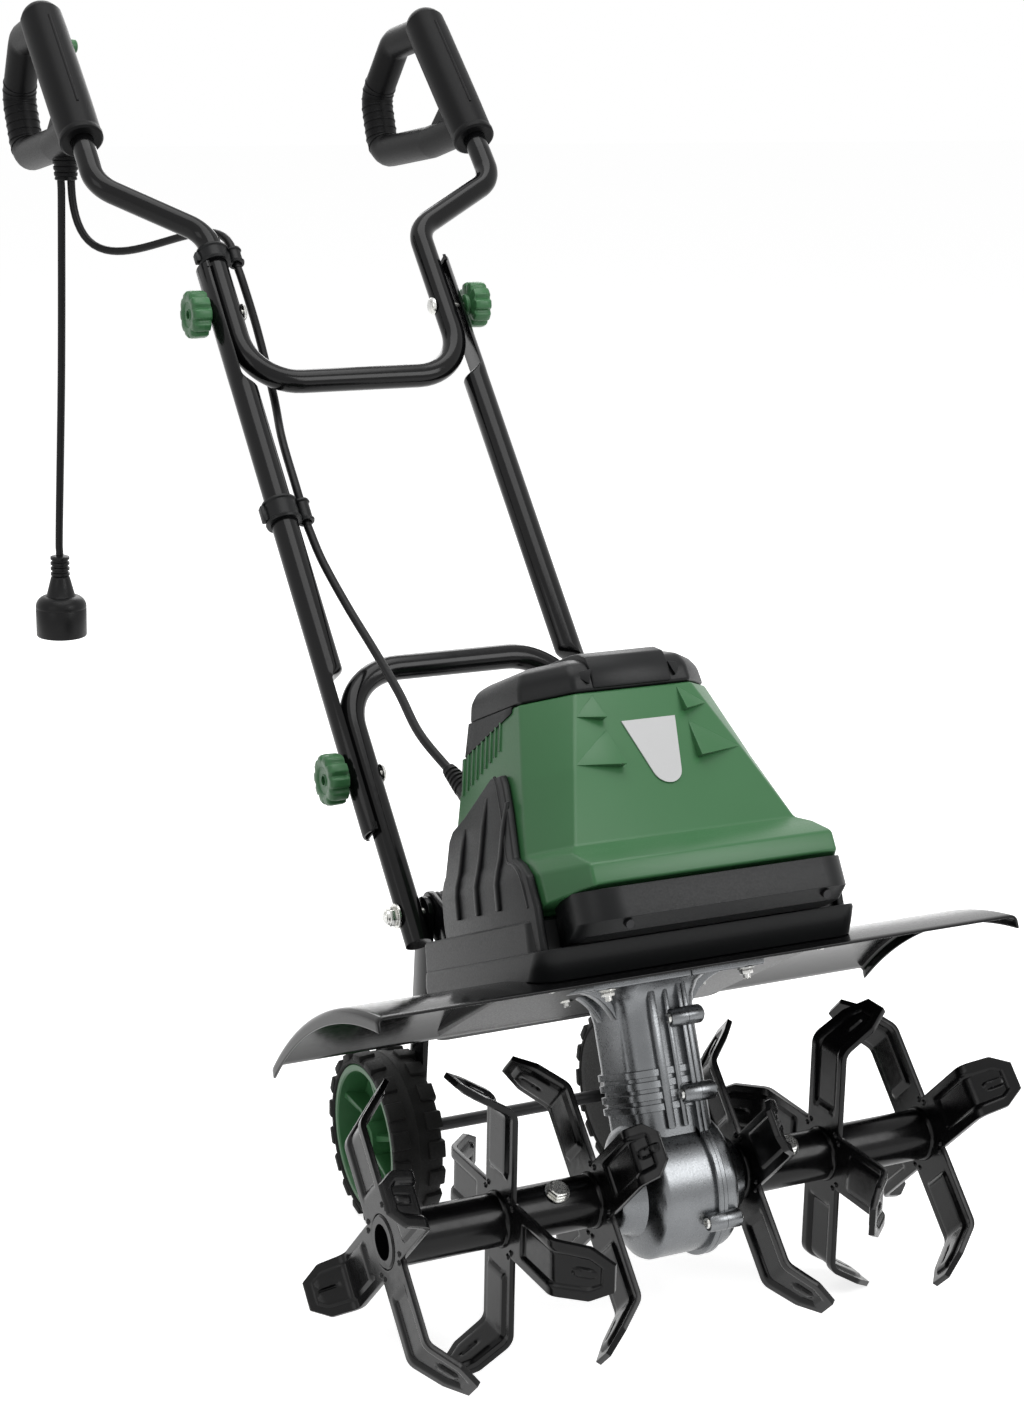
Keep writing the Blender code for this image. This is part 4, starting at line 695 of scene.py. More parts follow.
profile = [(0.0, 0.0), (0.0, 0.0058)]
pitch = RELIEF_END / RELIEF_RINGS
for ring in range(RELIEF_RINGS):
    low = ring * pitch
    for share, size in ((0.10, 0.86), (0.22, 1.0), (0.68, 1.0), (0.80, 0.84)):
        profile.append((low + pitch * share, RELIEF_R * size))
profile += [(RELIEF_END, 0.0082), (0.0210, 0.0088), (0.0365, 0.0128), (0.0372, 0.0137)]
profile += arc((0.0475, 0.0128), 0.0102, 176.0, 92.0, 8)
profile += [(0.0480, PLUG_R), (0.0486, PLUG_R - 0.0004), (0.0492, PLUG_R), (0.0735, PLUG_R - 0.0002)]
profile += [(0.0746, PLUG_R - 0.0009), (PLUG_LENGTH, PLUG_R - 0.0022), (PLUG_LENGTH, PLUG_R - 0.0046)]
profile += [(0.0630, PLUG_R - 0.0050), (0.0630, 0.0)]
plug_place = UPPER @ Matrix.Translation(lead_end + fall * FACE_GAP) @ facing(fall)
plug_bm = assembled(plug_place, turned(profile, 56))
pin = [(0.0620, 0.0), (0.0620, PIN_R), (0.0730, PIN_R), (0.0742, PIN_R * 0.6), (0.0742, 0.0)]
for side in HANDS:
    joined(plug_bm, turned(pin, 16), plug_place @ Matrix.Translation((0.0, 0.0, side * PIN_SPREAD)))
plug = add_piece("moulded_plug", plug_bm, CORD_PVC, "upper_frame", ["mains_plug"])

# %% The four leads
lead, lead_points, lead_length = lead_piece("hanging_lead", lead_route, UPPER, "mains_lead", "upper_frame")
loop, loop_points, loop_length = lead_piece("looped_lead", loop_route, UPPER, "cable_loop", "upper_frame")
fold, fold_points, fold_length = lead_piece("hinge_lead", fold_route, FOLD, "cable_fold", None)
drop, drop_points, drop_length = lead_piece("motor_lead", motor_route, FOLD, "cable_motor", None)
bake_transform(fold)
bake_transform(drop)

# %% [markdown]
# ## Tine stars
# Each star is one pressing: a square hub with four arms whose ends are bent into digging blades. A
# shallow trough runs up every arm, round the bend and into the blade, which is what keeps such thin
# sheet stiff, and a short bead is struck in the middle of the blade. The arm starts as a flat grid,
# as the blank does, and each point is then carried along the bent line of the arm. Solidify gives the
# sheet its 4 mm and a small Bevel the worn press edge.

# %% Pressed arm
STAR_SHEET = 0.004
STAR_ARMS = 4
HUB_HOLE_R = 0.0191
ARM_HALF = 0.020
ARM_ROOT = 0.030
FLANK_SHARE = 0.6
FLANK_HALF = 0.019
TIP_HALF = 0.0095
BEND_ROUND = 0.010
TROUGH_MARGIN = 0.0062
TROUGH_RAMP = 0.0028
TROUGH_DEPTH = 0.0021
TROUGH_ENDS = (0.005, 0.007)
BEAD_HALF = (0.0085, 0.0022)
BEAD_LIFT = 0.0018
BEAD_AT = 0.5
BEAD_STEEP = 2.5
HUB_SHARE = 0.14
ROOT_FADE = 7.0
ARM_COLUMNS = 32
ARM_ROWS = 60


def eased(value):
    """A step from 0 to 1 with soft ends."""
    value = min(max(value, 0.0), 1.0)
    return value * value * (3.0 - 2.0 * value)


def pressed_arm(way, angle, bend_r, tip_r):
    """One arm of a star pointing along Y, bent by an angle to one side, with its trough and bead."""
    lean = math.radians(angle)
    reach = BEND_ROUND * math.tan(lean / 2)
    flat = bend_r - reach - ARM_ROOT
    curve = BEND_ROUND * lean
    blade = (tip_r - bend_r - STAR_SHEET / 2 * math.sin(lean)) / math.cos(lean)
    whole = flat + curve + blade - reach
    arm = bmesh.new()
    bmesh.ops.create_grid(arm, x_segments=ARM_COLUMNS, y_segments=ARM_ROWS, size=1.0)
    for vert in arm.verts:
        across = vert.co.x
        up = (vert.co.y + 1.0) / 2
        root = ARM_HALF + (ARM_ROOT - ARM_HALF) * (1.0 - across**4)
        if up < HUB_SHARE:
            fan = across * math.pi / 4
            rim = Vector((0.0, math.cos(fan), math.sin(fan))) * HUB_HOLE_R
            vert.co = rim.lerp(Vector((0.0, root, across * ARM_HALF)), up / HUB_SHARE)
            continue
        run = (up - HUB_SHARE) / (1.0 - HUB_SHARE)
        along = run * whole + (root - ARM_ROOT) * max(0.0, 1.0 - ROOT_FADE * run)
        turn = min(max((along - flat) / BEND_ROUND, 0.0), lean)
        past = max(along - flat - curve, 0.0)
        share = max(0.0, (along - flat - curve / 2) / blade)
        half = ARM_HALF + (FLANK_HALF - ARM_HALF) * min(share / FLANK_SHARE, 1.0)
        if share > FLANK_SHARE:
            half += (TIP_HALF - FLANK_HALF) * (share - FLANK_SHARE) / (1.0 - FLANK_SHARE)
        level = Vector((0.0, ARM_ROOT + min(along, flat) + BEND_ROUND * math.sin(turn), 0.0))
        level.x = way * BEND_ROUND * (1.0 - math.cos(turn))
        level += Vector((way * math.sin(turn), math.cos(turn), 0.0)) * past
        ends = (along - TROUGH_ENDS[0], whole - along - TROUGH_ENDS[1])
        inside = min(half * (1.0 - abs(across)) - TROUGH_MARGIN, *ends)
        lift = TROUGH_DEPTH * eased(inside / TROUGH_RAMP)
        if past:
            bead = max(abs(share - BEAD_AT) * blade / BEAD_HALF[0], abs(across) * half / BEAD_HALF[1])
            lift -= BEAD_LIFT * eased((1.0 - bead) * BEAD_STEEP)
        normal = Vector((way * math.cos(turn), -math.sin(turn), 0.0))
        vert.co = level + normal * lift + Vector((0.0, 0.0, across * half))
    return arm


# %% Six stars
RIVET_R = 0.0024
RIVET_AT = 0.0262
RIVET_FAN = 38.0
ARM_STEP = 360.0 / STAR_ARMS
# Each arm: bend side (+1 away from the middle), bend angle, bend radius and tip radius.
OUTER_IN = (-1, 45.0, 0.078, TINE_R)
OUTER_OUT = (1, 62.0, 0.078, 0.096)
MIDDLE_OUT = (1, 58.0, 0.084, TINE_R)
MIDDLE_IN = (-1, 45.0, 0.078, TINE_R)
INNER_OUT = (1, 45.0, 0.078, TINE_R)
INNER_IN = (-1, 45.0, 0.078, 0.095)
# Each star: distance from the middle, angle of its first arm, its two kinds of arm in turn.
STARS = {
    "outer": (0.215, 45.0, (OUTER_IN, OUTER_OUT)),
    "middle": (0.130, 0.0, (MIDDLE_IN, MIDDLE_OUT)),
    "inner": (0.0585, 45.0, (INNER_OUT, INNER_IN)),
}


def tine_star(side, name):
    """A pressed star and the rivets round its hub."""
    hand = HANDS[side]
    distance, first, kinds = STARS[name]
    place = TINE_AXIS @ Matrix.Translation((side * distance, 0.0, 0.0))
    sheet_bm = bmesh.new()
    for index in range(STAR_ARMS):
        way, *rest = kinds[index % 2]
        turn = Matrix.Rotation(math.radians(first + ARM_STEP * index), 4, "X")
        joined(sheet_bm, pressed_arm(way * side, *rest), place @ turn)
    star = add_piece(f"{hand}_{name}_pressing", sheet_bm, TINE_ENAMEL, "tine_rotor")
    thickened(star, STAR_SHEET, 0.0, 0.0007)
    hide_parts(f"{hand}_{name}_star")
    head = STAR_SHEET / 2 + RIVET_R * 0.55
    outline = [(-head, 0.0), (-head, RIVET_R * 0.5), (-STAR_SHEET / 2, RIVET_R)]
    outline += [(STAR_SHEET / 2, RIVET_R), (head, RIVET_R * 0.5), (head, 0.0)]
    rivets = bmesh.new()
    for index in range(2 * STAR_ARMS):
        fan = math.radians(first + ARM_STEP * (index // 2) + (RIVET_FAN if index % 2 else -RIVET_FAN))
        spot = Matrix.Translation((0.0, RIVET_AT * math.cos(fan), RIVET_AT * math.sin(fan)))
        joined(rivets, turned(outline, 14), place @ spot)
    add_piece(f"{hand}_{name}_rivets", rivets, TINE_ENAMEL, "tine_rotor")


for side in HANDS:
    for name in STARS:
        tine_star(side, name)

# %% [markdown]
# ## Tine tubes and bolts
# The stars are welded to two tubes that slide on the geared shaft, and one through-bolt pins each
# tube. The tube is turned as a profile so that its bore shows at the end, with a weld bead run round
# it on both sides of every star. The bolt is the only bright piece down here.

# %% Tubes with their welds
TUBE_R = 0.0184
TUBE_BORE = 0.0123
TUBE_SPAN = (0.0515, 0.218)
TUBE_LIP = 0.0012
WELD_HALF = 0.0032
WELD_SUNK = 0.0016
BOLT_R = 0.004
BOLT_RUN = (-0.0250, 0.0200)
BOLT_X = 0.092
BOLT_FAN = 120.0
BOLT_HEX = 0.0075

low, high = TUBE_SPAN
profile = [(low, TUBE_BORE), (low, TUBE_R - TUBE_LIP), (low + TUBE_LIP, TUBE_R)]
for distance, *_ in sorted(STARS.values()):
    for edge in (distance - STAR_SHEET / 2, distance + STAR_SHEET / 2):
        if low + WELD_HALF < edge < high - WELD_HALF:
            bead = arc((edge, TUBE_R - WELD_SUNK), WELD_HALF, 150.0, 30.0, 6)
            profile += [(x, max(radius, TUBE_R)) for x, radius in bead]
profile += [(high - TUBE_LIP, TUBE_R), (high, TUBE_R - TUBE_LIP), (high, TUBE_BORE)]
seat = TUBE_R + FACE_GAP
crown = [(seat + 0.0050, 0.0), (seat + 0.0050, 0.0062), (seat + 0.0055, 0.0056), (seat + 0.0055, 0.0)]
for side, hand in HANDS.items():
    tube_bm = assembled(TINE_AXIS @ FLIP[side], turned(profile, 56))
    add_piece(f"{hand}_welded_tube", tube_bm, TINE_ENAMEL, "tine_rotor", [f"{hand}_tine_tube"])
    stand = Matrix.Rotation(math.radians(BOLT_FAN), 4, "X") @ ALONG_Y
    bolt_bm = assembled(
        TINE_AXIS @ Matrix.Translation((side * BOLT_X, 0.0, 0.0)) @ stand,
        turned(ring_line(BOLT_RUN, 0.0, BOLT_R), 20),
        turned(ring_line((seat, seat + 0.0011), 0.0042, 0.0088), 32),
        hexagon((seat + 0.0010, seat + 0.0052), BOLT_HEX),
        turned(crown, 32),
        hexagon((-seat - 0.0055, -seat), BOLT_HEX),
    )
    add_piece(f"{hand}_through_bolt", bolt_bm, BOLT_ZINC, "tine_rotor", [f"{hand}_tine_bolt"])

# %% [markdown]
# ## Gearbox
# The case is two aluminium castings that meet on a raised seam just right of the middle. A drum holds
# the crown wheel, a column carries the motor's shaft down to it, and a flange bolts the whole to the
# guard. A founder would core each half; here each half is built from turned and boxed forms that run
# into one another, with generous rounding, because draft and fillets are what make a casting look cast.

# %% Case halves
SEAM_X = 0.016
SEAM_GAP = 0.0003
CASE_R = 0.048
BOSS_R = 0.027
SEAM_R = 0.0518
SEAM_LIP = 0.0036
SHAFT_BORE = 0.0126
COLUMN_Y = 0.033
COLUMN_TOP = 0.1425
FLANGE_Z = (0.1415, 0.148)
FLANGE_Y = (-0.058, 0.022)
FLANGE_REACH = {-1: -0.060, 1: 0.075}
COLUMN_END = {-1: -0.027, 1: 0.030}
COLUMN_CORNER = {-1: 0.017, 1: 0.012}
DRUM_END = {-1: -0.026, 1: 0.030}
LUGS = ((-0.037, 0.115), (-0.038, 0.062), (-0.044, -0.027), (0.037, 0.115), (0.038, 0.062), (0.044, -0.027))
LUG_R = 0.0068
RING_Z = (0.0530, 0.0610, 0.0690, 0.0770)
RING_PROUD = 0.0022
ROUND = [math.radians(angle) for angle in range(0, 91, 10)]
# Distance past the drum's end and radius of its domed cover.
DOME = ((0.000, CASE_R), (0.0025, CASE_R - 0.0012), (0.0050, 0.0420), (0.0068, 0.0360), (0.0078, 0.0310))
# Place across and half-width of the ribs up the left half's front.
COLUMN_RIBS = ((0.0040, 0.0022), (-0.0070, 0.0032))
# Place along and half-thickness of the gussets under the flange.
GUSSETS = ((-0.0130, 0.0050), (0.0100, 0.0045))
GUSSET_DROP = 0.046


def column_ring(half, z, proud):
    """A section of the column: round on its outer side, flat where it meets the seam."""
    end = COLUMN_END[half] + half * proud
    depth = COLUMN_Y + proud
    corner = COLUMN_CORNER[half]
    front = []
    for turn in ROUND:
        inset = corner * (1.0 - math.cos(turn))
        front.append((end - half * inset, -depth + corner * (1.0 - math.sin(turn))))
    back = [(x, -y) for x, y in front]
    ring = [(SEAM_X, -depth), *reversed(front), *back, (SEAM_X, depth)]
    return [(x, y, z) for x, y in ring]


def case_half(half):
    """One casting: drum, boss, column with cooling rings, seam lips, flange and gussets."""
    seam = SEAM_X if half < 0 else SEAM_X + SEAM_GAP
    drum = DRUM_END[half]
    profile = [(seam, SHAFT_BORE), (seam, CASE_R), (drum - half * 0.004, CASE_R)]
    profile += [(drum + half * (step - 0.002), radius) for step, radius in DOME]
    profile += [(half * 0.0390, BOSS_R + 0.0006), (half * 0.0470, BOSS_R), (half * 0.0490, BOSS_R - 0.0016)]
    profile += [(half * 0.0490, 0.0185), (half * 0.0470, 0.0180), (half * 0.0470, SHAFT_BORE)]
    bm = assembled(CHASSIS, turned(profile, 72))
    lip = seam + half * SEAM_LIP
    lips = [(seam, CASE_R - 0.006), (seam, SEAM_R), (lip - half * 0.0008, SEAM_R), (lip, SEAM_R - 0.0008)]
    joined(bm, turned([*lips, (lip, CASE_R - 0.006)], 72), CHASSIS)
    heights = [(0.004, 0.0), (0.050, 0.0)]
    for z in RING_Z if half < 0 else ():
        heights += [(z, 0.0), (z + 0.0005, RING_PROUD), (z + 0.0050, RING_PROUD), (z + 0.0055, 0.0)]
    heights += [(0.118, 0.0), (0.130, 0.0015), (0.138, 0.0050), (COLUMN_TOP, 0.0100)]
    joined(bm, loft([column_ring(half, z, proud) for z, proud in heights]), CHASSIS)
    for side in HANDS:
        edge_y = side * (COLUMN_Y + 0.0055)
        joined(bm, box((seam, lip), (0.0, edge_y), (0.030, COLUMN_TOP), 0.0008), CHASSIS)
    for x, wide in COLUMN_RIBS if half < 0 else ():
        joined(bm, box((x - wide, x + wide), (-COLUMN_Y - 0.0040, 0.0), (0.040, 0.139), 0.0015), CHASSIS)
    joined(bm, box((seam, FLANGE_REACH[half]), FLANGE_Y, FLANGE_Z, 0.0016, 3), CHASSIS)
    root = COLUMN_END[half] - half * 0.004
    tip = FLANGE_REACH[half] - half * 0.006
    top = FLANGE_Z[0] + 0.0030
    sweep = []
    for turn in ROUND:
        rise = (GUSSET_DROP + 0.0005) * math.sin(turn)
        sweep.append((between((root, tip), 1.0 - math.cos(turn)), FLANGE_Z[0] - GUSSET_DROP + rise))
    outline = [(root, sweep[3][1]), *sweep[3:-1], (sweep[-2][0], top), (root, top)]
    for y, thick in GUSSETS:
        web = [[(x, at, z) for x, z in outline] for at in (y - thick, y + thick)]
        joined(bm, softened(loft(web), 0.0012), CHASSIS)
    return bm, seam


# %% Lugs and their screws
SCREW_HEAD_R = 0.0042
LUG_LENGTH = 0.0125

for half, hand in HANDS.items():
    bm, seam = case_half(half)
    screws = bmesh.new()
    for y, z in LUGS:
        end = seam + half * LUG_LENGTH
        lug = [(seam, 0.0), (seam, LUG_R), (end - half * 0.0015, LUG_R * 0.97), (end, LUG_R * 0.82)]
        lug += [(end, SCREW_HEAD_R + 0.0004), (end - half * 0.002, SCREW_HEAD_R), (end - half * 0.002, 0.0)]
        spot = CHASSIS @ Matrix.Translation((0.0, y, z))
        joined(bm, turned(lug, 24), spot)
        web = (0.028 if abs(z) < 0.05 else 0.026) * (1 if y > 0 else -1)
        web_z = (z - LUG_R * 0.8, z + LUG_R * 0.8)
        joined(bm, box((seam, end - half * 0.004), (web, y), web_z, 0.0012), CHASSIS)
        foot = end - half * 0.0016
        head = [(foot, 0.0), (foot, SCREW_HEAD_R - 0.0003), (foot + half * 0.0024, SCREW_HEAD_R - 0.0004)]
        head += [(foot + half * 0.0032, SCREW_HEAD_R * 0.75), (foot + half * 0.0032, 0.0020)]
        head += [(foot + half * 0.0012, 0.0017), (foot + half * 0.0012, 0.0)]
        joined(screws, turned(head, 24), spot)
    add_piece(f"{hand}_case_casting", bm, CASE_ALUMINIUM, "chassis", [f"gearbox_{hand}"])
    add_piece(f"{hand}_case_screws", screws, BOLT_ZINC, "chassis")

# %% [markdown]
# ## Guard
# The guard is one sheet of 2 mm steel rolled to a wide arch, with its two ends folded down. A flat
# grid is rolled over the arch and its end columns are gathered into the fold, so that the bend is
# round as a folded edge is. Screw ends and nuts of the housing show under its front edge.

# %% Rolled sheet
GUARD_R = 0.300
GUARD_PEAK = (-0.045, 0.158)
GUARD_Y = (-0.123, 0.088)
GUARD_HALF = 0.246
GUARD_SHEET = 0.002
FOLD_R = 0.005
FOLD_DROP = 0.010
FOLD_FROM = 0.70
LIP_FROM = 0.90


def guard_height(y):
    """The top of the guard at a distance behind the tine axis."""
    return GUARD_PEAK[1] - GUARD_R + math.sqrt(GUARD_R**2 - (y - GUARD_PEAK[0]) ** 2)


guard_bm = bmesh.new()
bmesh.ops.create_grid(guard_bm, x_segments=72, y_segments=44, size=1.0)
flat_half = GUARD_HALF - FOLD_R
for vert in guard_bm.verts:
    share = abs(vert.co.x)
    hand = math.copysign(1.0, vert.co.x)
    y = between(GUARD_Y, (vert.co.y + 1.0) / 2)
    if share <= FOLD_FROM:
        x, drop = flat_half * share / FOLD_FROM, 0.0
    else:
        turn = min((share - FOLD_FROM) / (LIP_FROM - FOLD_FROM), 1.0) * math.pi / 2
        x, drop = flat_half + FOLD_R * math.sin(turn), FOLD_R * (1.0 - math.cos(turn))
        drop += (FOLD_DROP - FOLD_R) * max(0.0, share - LIP_FROM) / (1.0 - LIP_FROM)
    vert.co = Vector((hand * x, y, guard_height(y) - drop))
bmesh.ops.transform(guard_bm, matrix=CHASSIS, verts=guard_bm.verts)
guard = add_piece("rolled_guard", guard_bm, TUBE_ENAMEL, "chassis", ["guard"])
if guard.data.polygons[0].normal.z < 0.0:
    guard.data.flip_normals()
thickened(guard, GUARD_SHEET, -1.0, 0.0005)

# %% Screws and nuts under the guard
FLANGE_SCREWS = ((-0.048, -0.052), (0.062, -0.052), (-0.048, 0.014), (0.062, 0.014))
EDGE_SCREWS = ((-0.105, -0.085), (0.105, -0.085))
DOWN_TURN = Matrix.Rotation(math.pi / 2, 4, "Y")
SCREW_WASHER = ring_line((0.0, 0.0010), 0.0025, 0.0062)
SCREW_END = [(0.0, 0.0), (0.0, 0.0026), (0.0075, 0.0026), (0.0082, 0.0019), (0.0082, 0.0)]
screws_bm = bmesh.new()
for x, y in FLANGE_SCREWS + EDGE_SCREWS:
    top = FLANGE_Z[0] if (x, y) in FLANGE_SCREWS else guard_height(y) - GUARD_SHEET
    spot = CHASSIS @ Matrix.Translation((x, y, top)) @ DOWN_TURN
    joined(screws_bm, turned(SCREW_WASHER, 24), spot)
    joined(screws_bm, hexagon((0.0009, 0.0048), 0.0050), spot)
    joined(screws_bm, turned(SCREW_END, 16), spot)
add_piece("guard_screws", screws_bm, BOLT_ZINC, "chassis")

# %% [markdown]
# ## Housing base
# The black base sits astride the guard and carries everything above it. It is a moulded tub whose
# plan is a rectangle with round corners, leaning out towards its top edge at the front, with a step
# where the bumper and the cover sit. Its sections are rings that are bridged one to the next.

# %% Base tub
BASE_STEP = 0.1735
BASE_TOP = 0.1945
GUARD_GAP = 0.0006
CORNER_STEPS = 6
# Height, half-width, front, rear and corner radius of each section; the first follows the guard.
BASE_SECTIONS = (
    (None, 0.1240, -0.1062, 0.0962, 0.016),
    (0.1625, 0.1240, -0.1120, 0.0950, 0.016),
    (0.1712, 0.1232, -0.1176, 0.0930, 0.015),
    (0.1732, 0.1222, -0.1180, 0.0920, 0.014),
    (BASE_STEP, 0.1212, -0.1172, 0.0916, 0.013),
    (BASE_STEP, 0.1212, -0.1010, 0.0910, 0.010),
    (0.1930, 0.1200, -0.1005, 0.0892, 0.010),
    (BASE_TOP, 0.1185, -0.0992, 0.0880, 0.009),
)


def round_plan(half, front, rear, corner):
    """A rectangle with round corners as (x, y) points."""
    right = arc((half - corner, front + corner), corner, -90.0, 0.0, CORNER_STEPS)
    right += arc((half - corner, rear - corner), corner, 0.0, 90.0, CORNER_STEPS)
    return right + [(-x, y) for x, y in reversed(right)]


rings = []
for height, *plan in BASE_SECTIONS:
    spots = round_plan(*plan)
    rings.append([(x, y, guard_height(y) + GUARD_GAP if height is None else height) for x, y in spots])
base_bm = assembled(CHASSIS, loft(rings))

# %% [markdown]
# ## Cheeks
# Two cheeks of the base stand up against the green cover and hide the motor's sides. Each is a wall
# 6 mm thick whose top runs to a leaning peak, with three upright ribs and a raised border along its
# front.

# %% Sections of the cheeks and of the cover between them
CHEEK_WALL = 0.006
CHEEK_GAP = 0.0006
# Height, front edge and rear edge of each row of a cheek.
CHEEK_ROWS = (
    (0.1660, -0.1060, 0.0480),
    (0.2030, -0.1060, 0.0480),
    (0.2240, -0.0980, 0.0480),
    (0.2330, -0.0840, 0.0480),
    (0.2380, -0.0700, 0.0480),
    (0.2620, -0.0580, 0.0470),
    (0.2690, -0.0545, 0.0420),
    (0.2760, -0.0505, 0.0230),
    (0.2900, -0.0420, -0.0040),
    (0.2975, -0.0350, -0.0180),
)
# Distance behind the tine axis, foot and head of each rib.
CHEEK_RIBS = ((-0.050, 0.2050, 0.2780), (-0.015, 0.2050, 0.2850), (0.019, 0.2050, 0.2680))
# Height, front crease (x, y), side crease (x, y), rear of the side and rear crease (x, y) of the cover.
COVER_SECTIONS = (
    (0.1951, 0.0880, -0.0980, 0.1110, -0.0840, 0.0500, 0.0800, 0.0820),
    (0.1990, 0.0880, -0.0980, 0.1110, -0.0840, 0.0500, 0.0800, 0.0820),
    (0.2030, 0.0925, -0.1480, 0.1110, -0.1120, 0.0500, 0.0800, 0.0820),
    (0.2240, 0.0925, -0.1460, 0.1095, -0.1060, 0.0500, 0.0780, 0.0810),
    (0.2330, 0.0925, -0.1240, 0.1065, -0.0920, 0.0500, 0.0760, 0.0800),
    (0.2380, 0.0850, -0.1135, 0.1040, -0.0760, 0.0500, 0.0750, 0.0800),
    (0.2900, 0.0660, -0.0930, 0.0900, -0.0590, 0.0490, 0.0620, 0.0760),
    (0.3440, 0.0455, -0.0715, 0.0740, -0.0400, 0.0460, 0.0500, 0.0700),
)


def cover_at(height):
    """The cover's section at a height, between the two nearest ones."""
    for low, high in zip(COVER_SECTIONS, COVER_SECTIONS[1:]):
        if low[0] <= height <= high[0]:
            share = (height - low[0]) / (high[0] - low[0])
            return [a + (b - a) * share for a, b in zip(low, high)]
    return list(COVER_SECTIONS[0] if height < COVER_SECTIONS[0][0] else COVER_SECTIONS[-1])


def cheek_face(height):
    """The half-width of a cheek's outer face at a height."""
    return cover_at(height)[3] + CHEEK_GAP + CHEEK_WALL


# %% Cheeks with ribs
RIB_HALF = 0.0024
RIB_PROUD = 0.0022
RIB_ROOT = 0.002
RIB_STEPS = 8
BORDER_IN = 0.010
BORDER_R = 0.0013

for side in HANDS:
    rows = []
    for z, front, rear in CHEEK_ROWS:
        outer = side * cheek_face(z)
        rows.append(level_row(outer - side * CHEEK_WALL, outer, front, rear, z))
    joined(base_bm, softened(loft(rows), 0.0016, 3, 30.0), CHASSIS)
    for y, foot, head in CHEEK_RIBS:
        rib = []
        for step in range(RIB_STEPS + 1):
            z = between((foot, head), step / RIB_STEPS)
            fade = min(1.0, (RIB_STEPS - step) / 2.0 + 0.15)
            inner = side * (cheek_face(z) - RIB_ROOT)
            outer = side * (cheek_face(z) + RIB_PROUD * fade)
            rib.append(level_row(inner, outer, y - RIB_HALF, y + RIB_HALF, z))
        joined(base_bm, softened(loft(rib), 0.0009), CHASSIS)
    line = [(side * (cheek_face(z) - 0.0004), front + BORDER_IN, z) for z, front, _ in CHEEK_ROWS[1:]]
    joined(base_bm, bar(smooth_route(line, 30), BORDER_R, 3), CHASSIS)
add_piece("moulded_base", base_bm, HOUSING_NYLON, "chassis", ["base_housing"], edge=0.0006)

# %% [markdown]
# ## Motor cover
# The green cover is the face of the machine. It is a tapered hood with flat panels that meet at soft
# creases, over a deep ledge at the front. The hull is bridged from eight-cornered sections and its
# creases are rounded by a bevel, which keeps the panels flat and gives each crease one clean highlight.

# %% Hood
CREASE_R = 0.0032
CREASE_ANGLE = 7.0
# The ledge is the third section; its front corners stand higher than its sides.
LEDGE = 2
LEDGE_RISE = 0.0065
LEDGE_FRONT = -0.120


def eight_corners(section):
    """A section of the cover or cap as a ring of eight points."""
    z, front_x, front_y, side_x, side_y, flank_y, rear_x, rear_y = section
    half = [(front_x, front_y), (side_x, side_y), (side_x, flank_y), (rear_x, rear_y)]
    ring = [(x, y, z) for x, y in half]
    return ring + [(-x, y, z) for x, y in reversed(half)]


rings = [eight_corners(section) for section in COVER_SECTIONS]
rings[LEDGE] = [(x, y, z + LEDGE_RISE * (y < LEDGE_FRONT)) for x, y, z in rings[LEDGE]]
cover_bm = assembled(CHASSIS, softened(loft(rings), CREASE_R, 3, CREASE_ANGLE, clamp=True))

# %% [markdown]
# ## Facets and louvres of the cover
# The front corners carry four raised wedges, flush at their upper edge and standing proud below, which
# throw the dark little steps that give the hood its look. A row of leaning louvres lets the motor's fan
# breathe on each side; the openings between the fins are black strips of painted shade laid on the hood.


# %% Wedges
def hood_front(x, z):
    """Where the front of the hood lies at a distance from the middle and a height."""
    _, front_x, front_y, side_x, side_y, *_ = cover_at(z)
    share = min(max((abs(x) - front_x) / (side_x - front_x), 0.0), 1.0)
    return front_y + (side_y - front_y) * share


WEDGE_PROUD = Vector((0.0, -0.0065, 0.0015))
WEDGE_ROOT = Vector((0.0, 0.004, 0.0))
# Each wedge: its upper inner, lower outer and lower inner corner as (x, z).
WEDGES = (
    ((0.0330, 0.3420), (0.0510, 0.3270), (0.0310, 0.3225)),
    ((0.0320, 0.3160), (0.0640, 0.2930), (0.0290, 0.2880)),
)


def wedge(corners, side):
    """A three-sided facet, flush at its first two corners and proud at the third."""
    spots = [Vector((side * x, hood_front(x, z) - 0.0002, z)) for x, z in corners]
    shape, roots = drawn_out(spots, WEDGE_ROOT)
    proud = min((v for v in shape.verts if v not in roots), key=lambda v: (v.co - spots[2]).length)
    proud.co += WEDGE_PROUD
    bmesh.ops.recalc_face_normals(shape, faces=shape.faces)
    return softened(shape, 0.0007)


for side in HANDS:
    for corners in WEDGES:
        joined(cover_bm, wedge(corners, side), CHASSIS)
add_piece("hood", cover_bm, COVER_ABS, "chassis", ["motor_cover"], crease=30.0)

# %% Louvres
LOUVRES = 9
LOUVRE_Y = (-0.016, 0.042)
LOUVRE_FOOT = (0.3160, 0.2930)
LOUVRE_HEAD = (0.3370, 0.3200)
LOUVRE_HALF = 0.0011
LOUVRE_LEAN = 0.20
LOUVRE_ROOT = 0.0015

shade_strips_bm = bmesh.new()
fins_bm = bmesh.new()
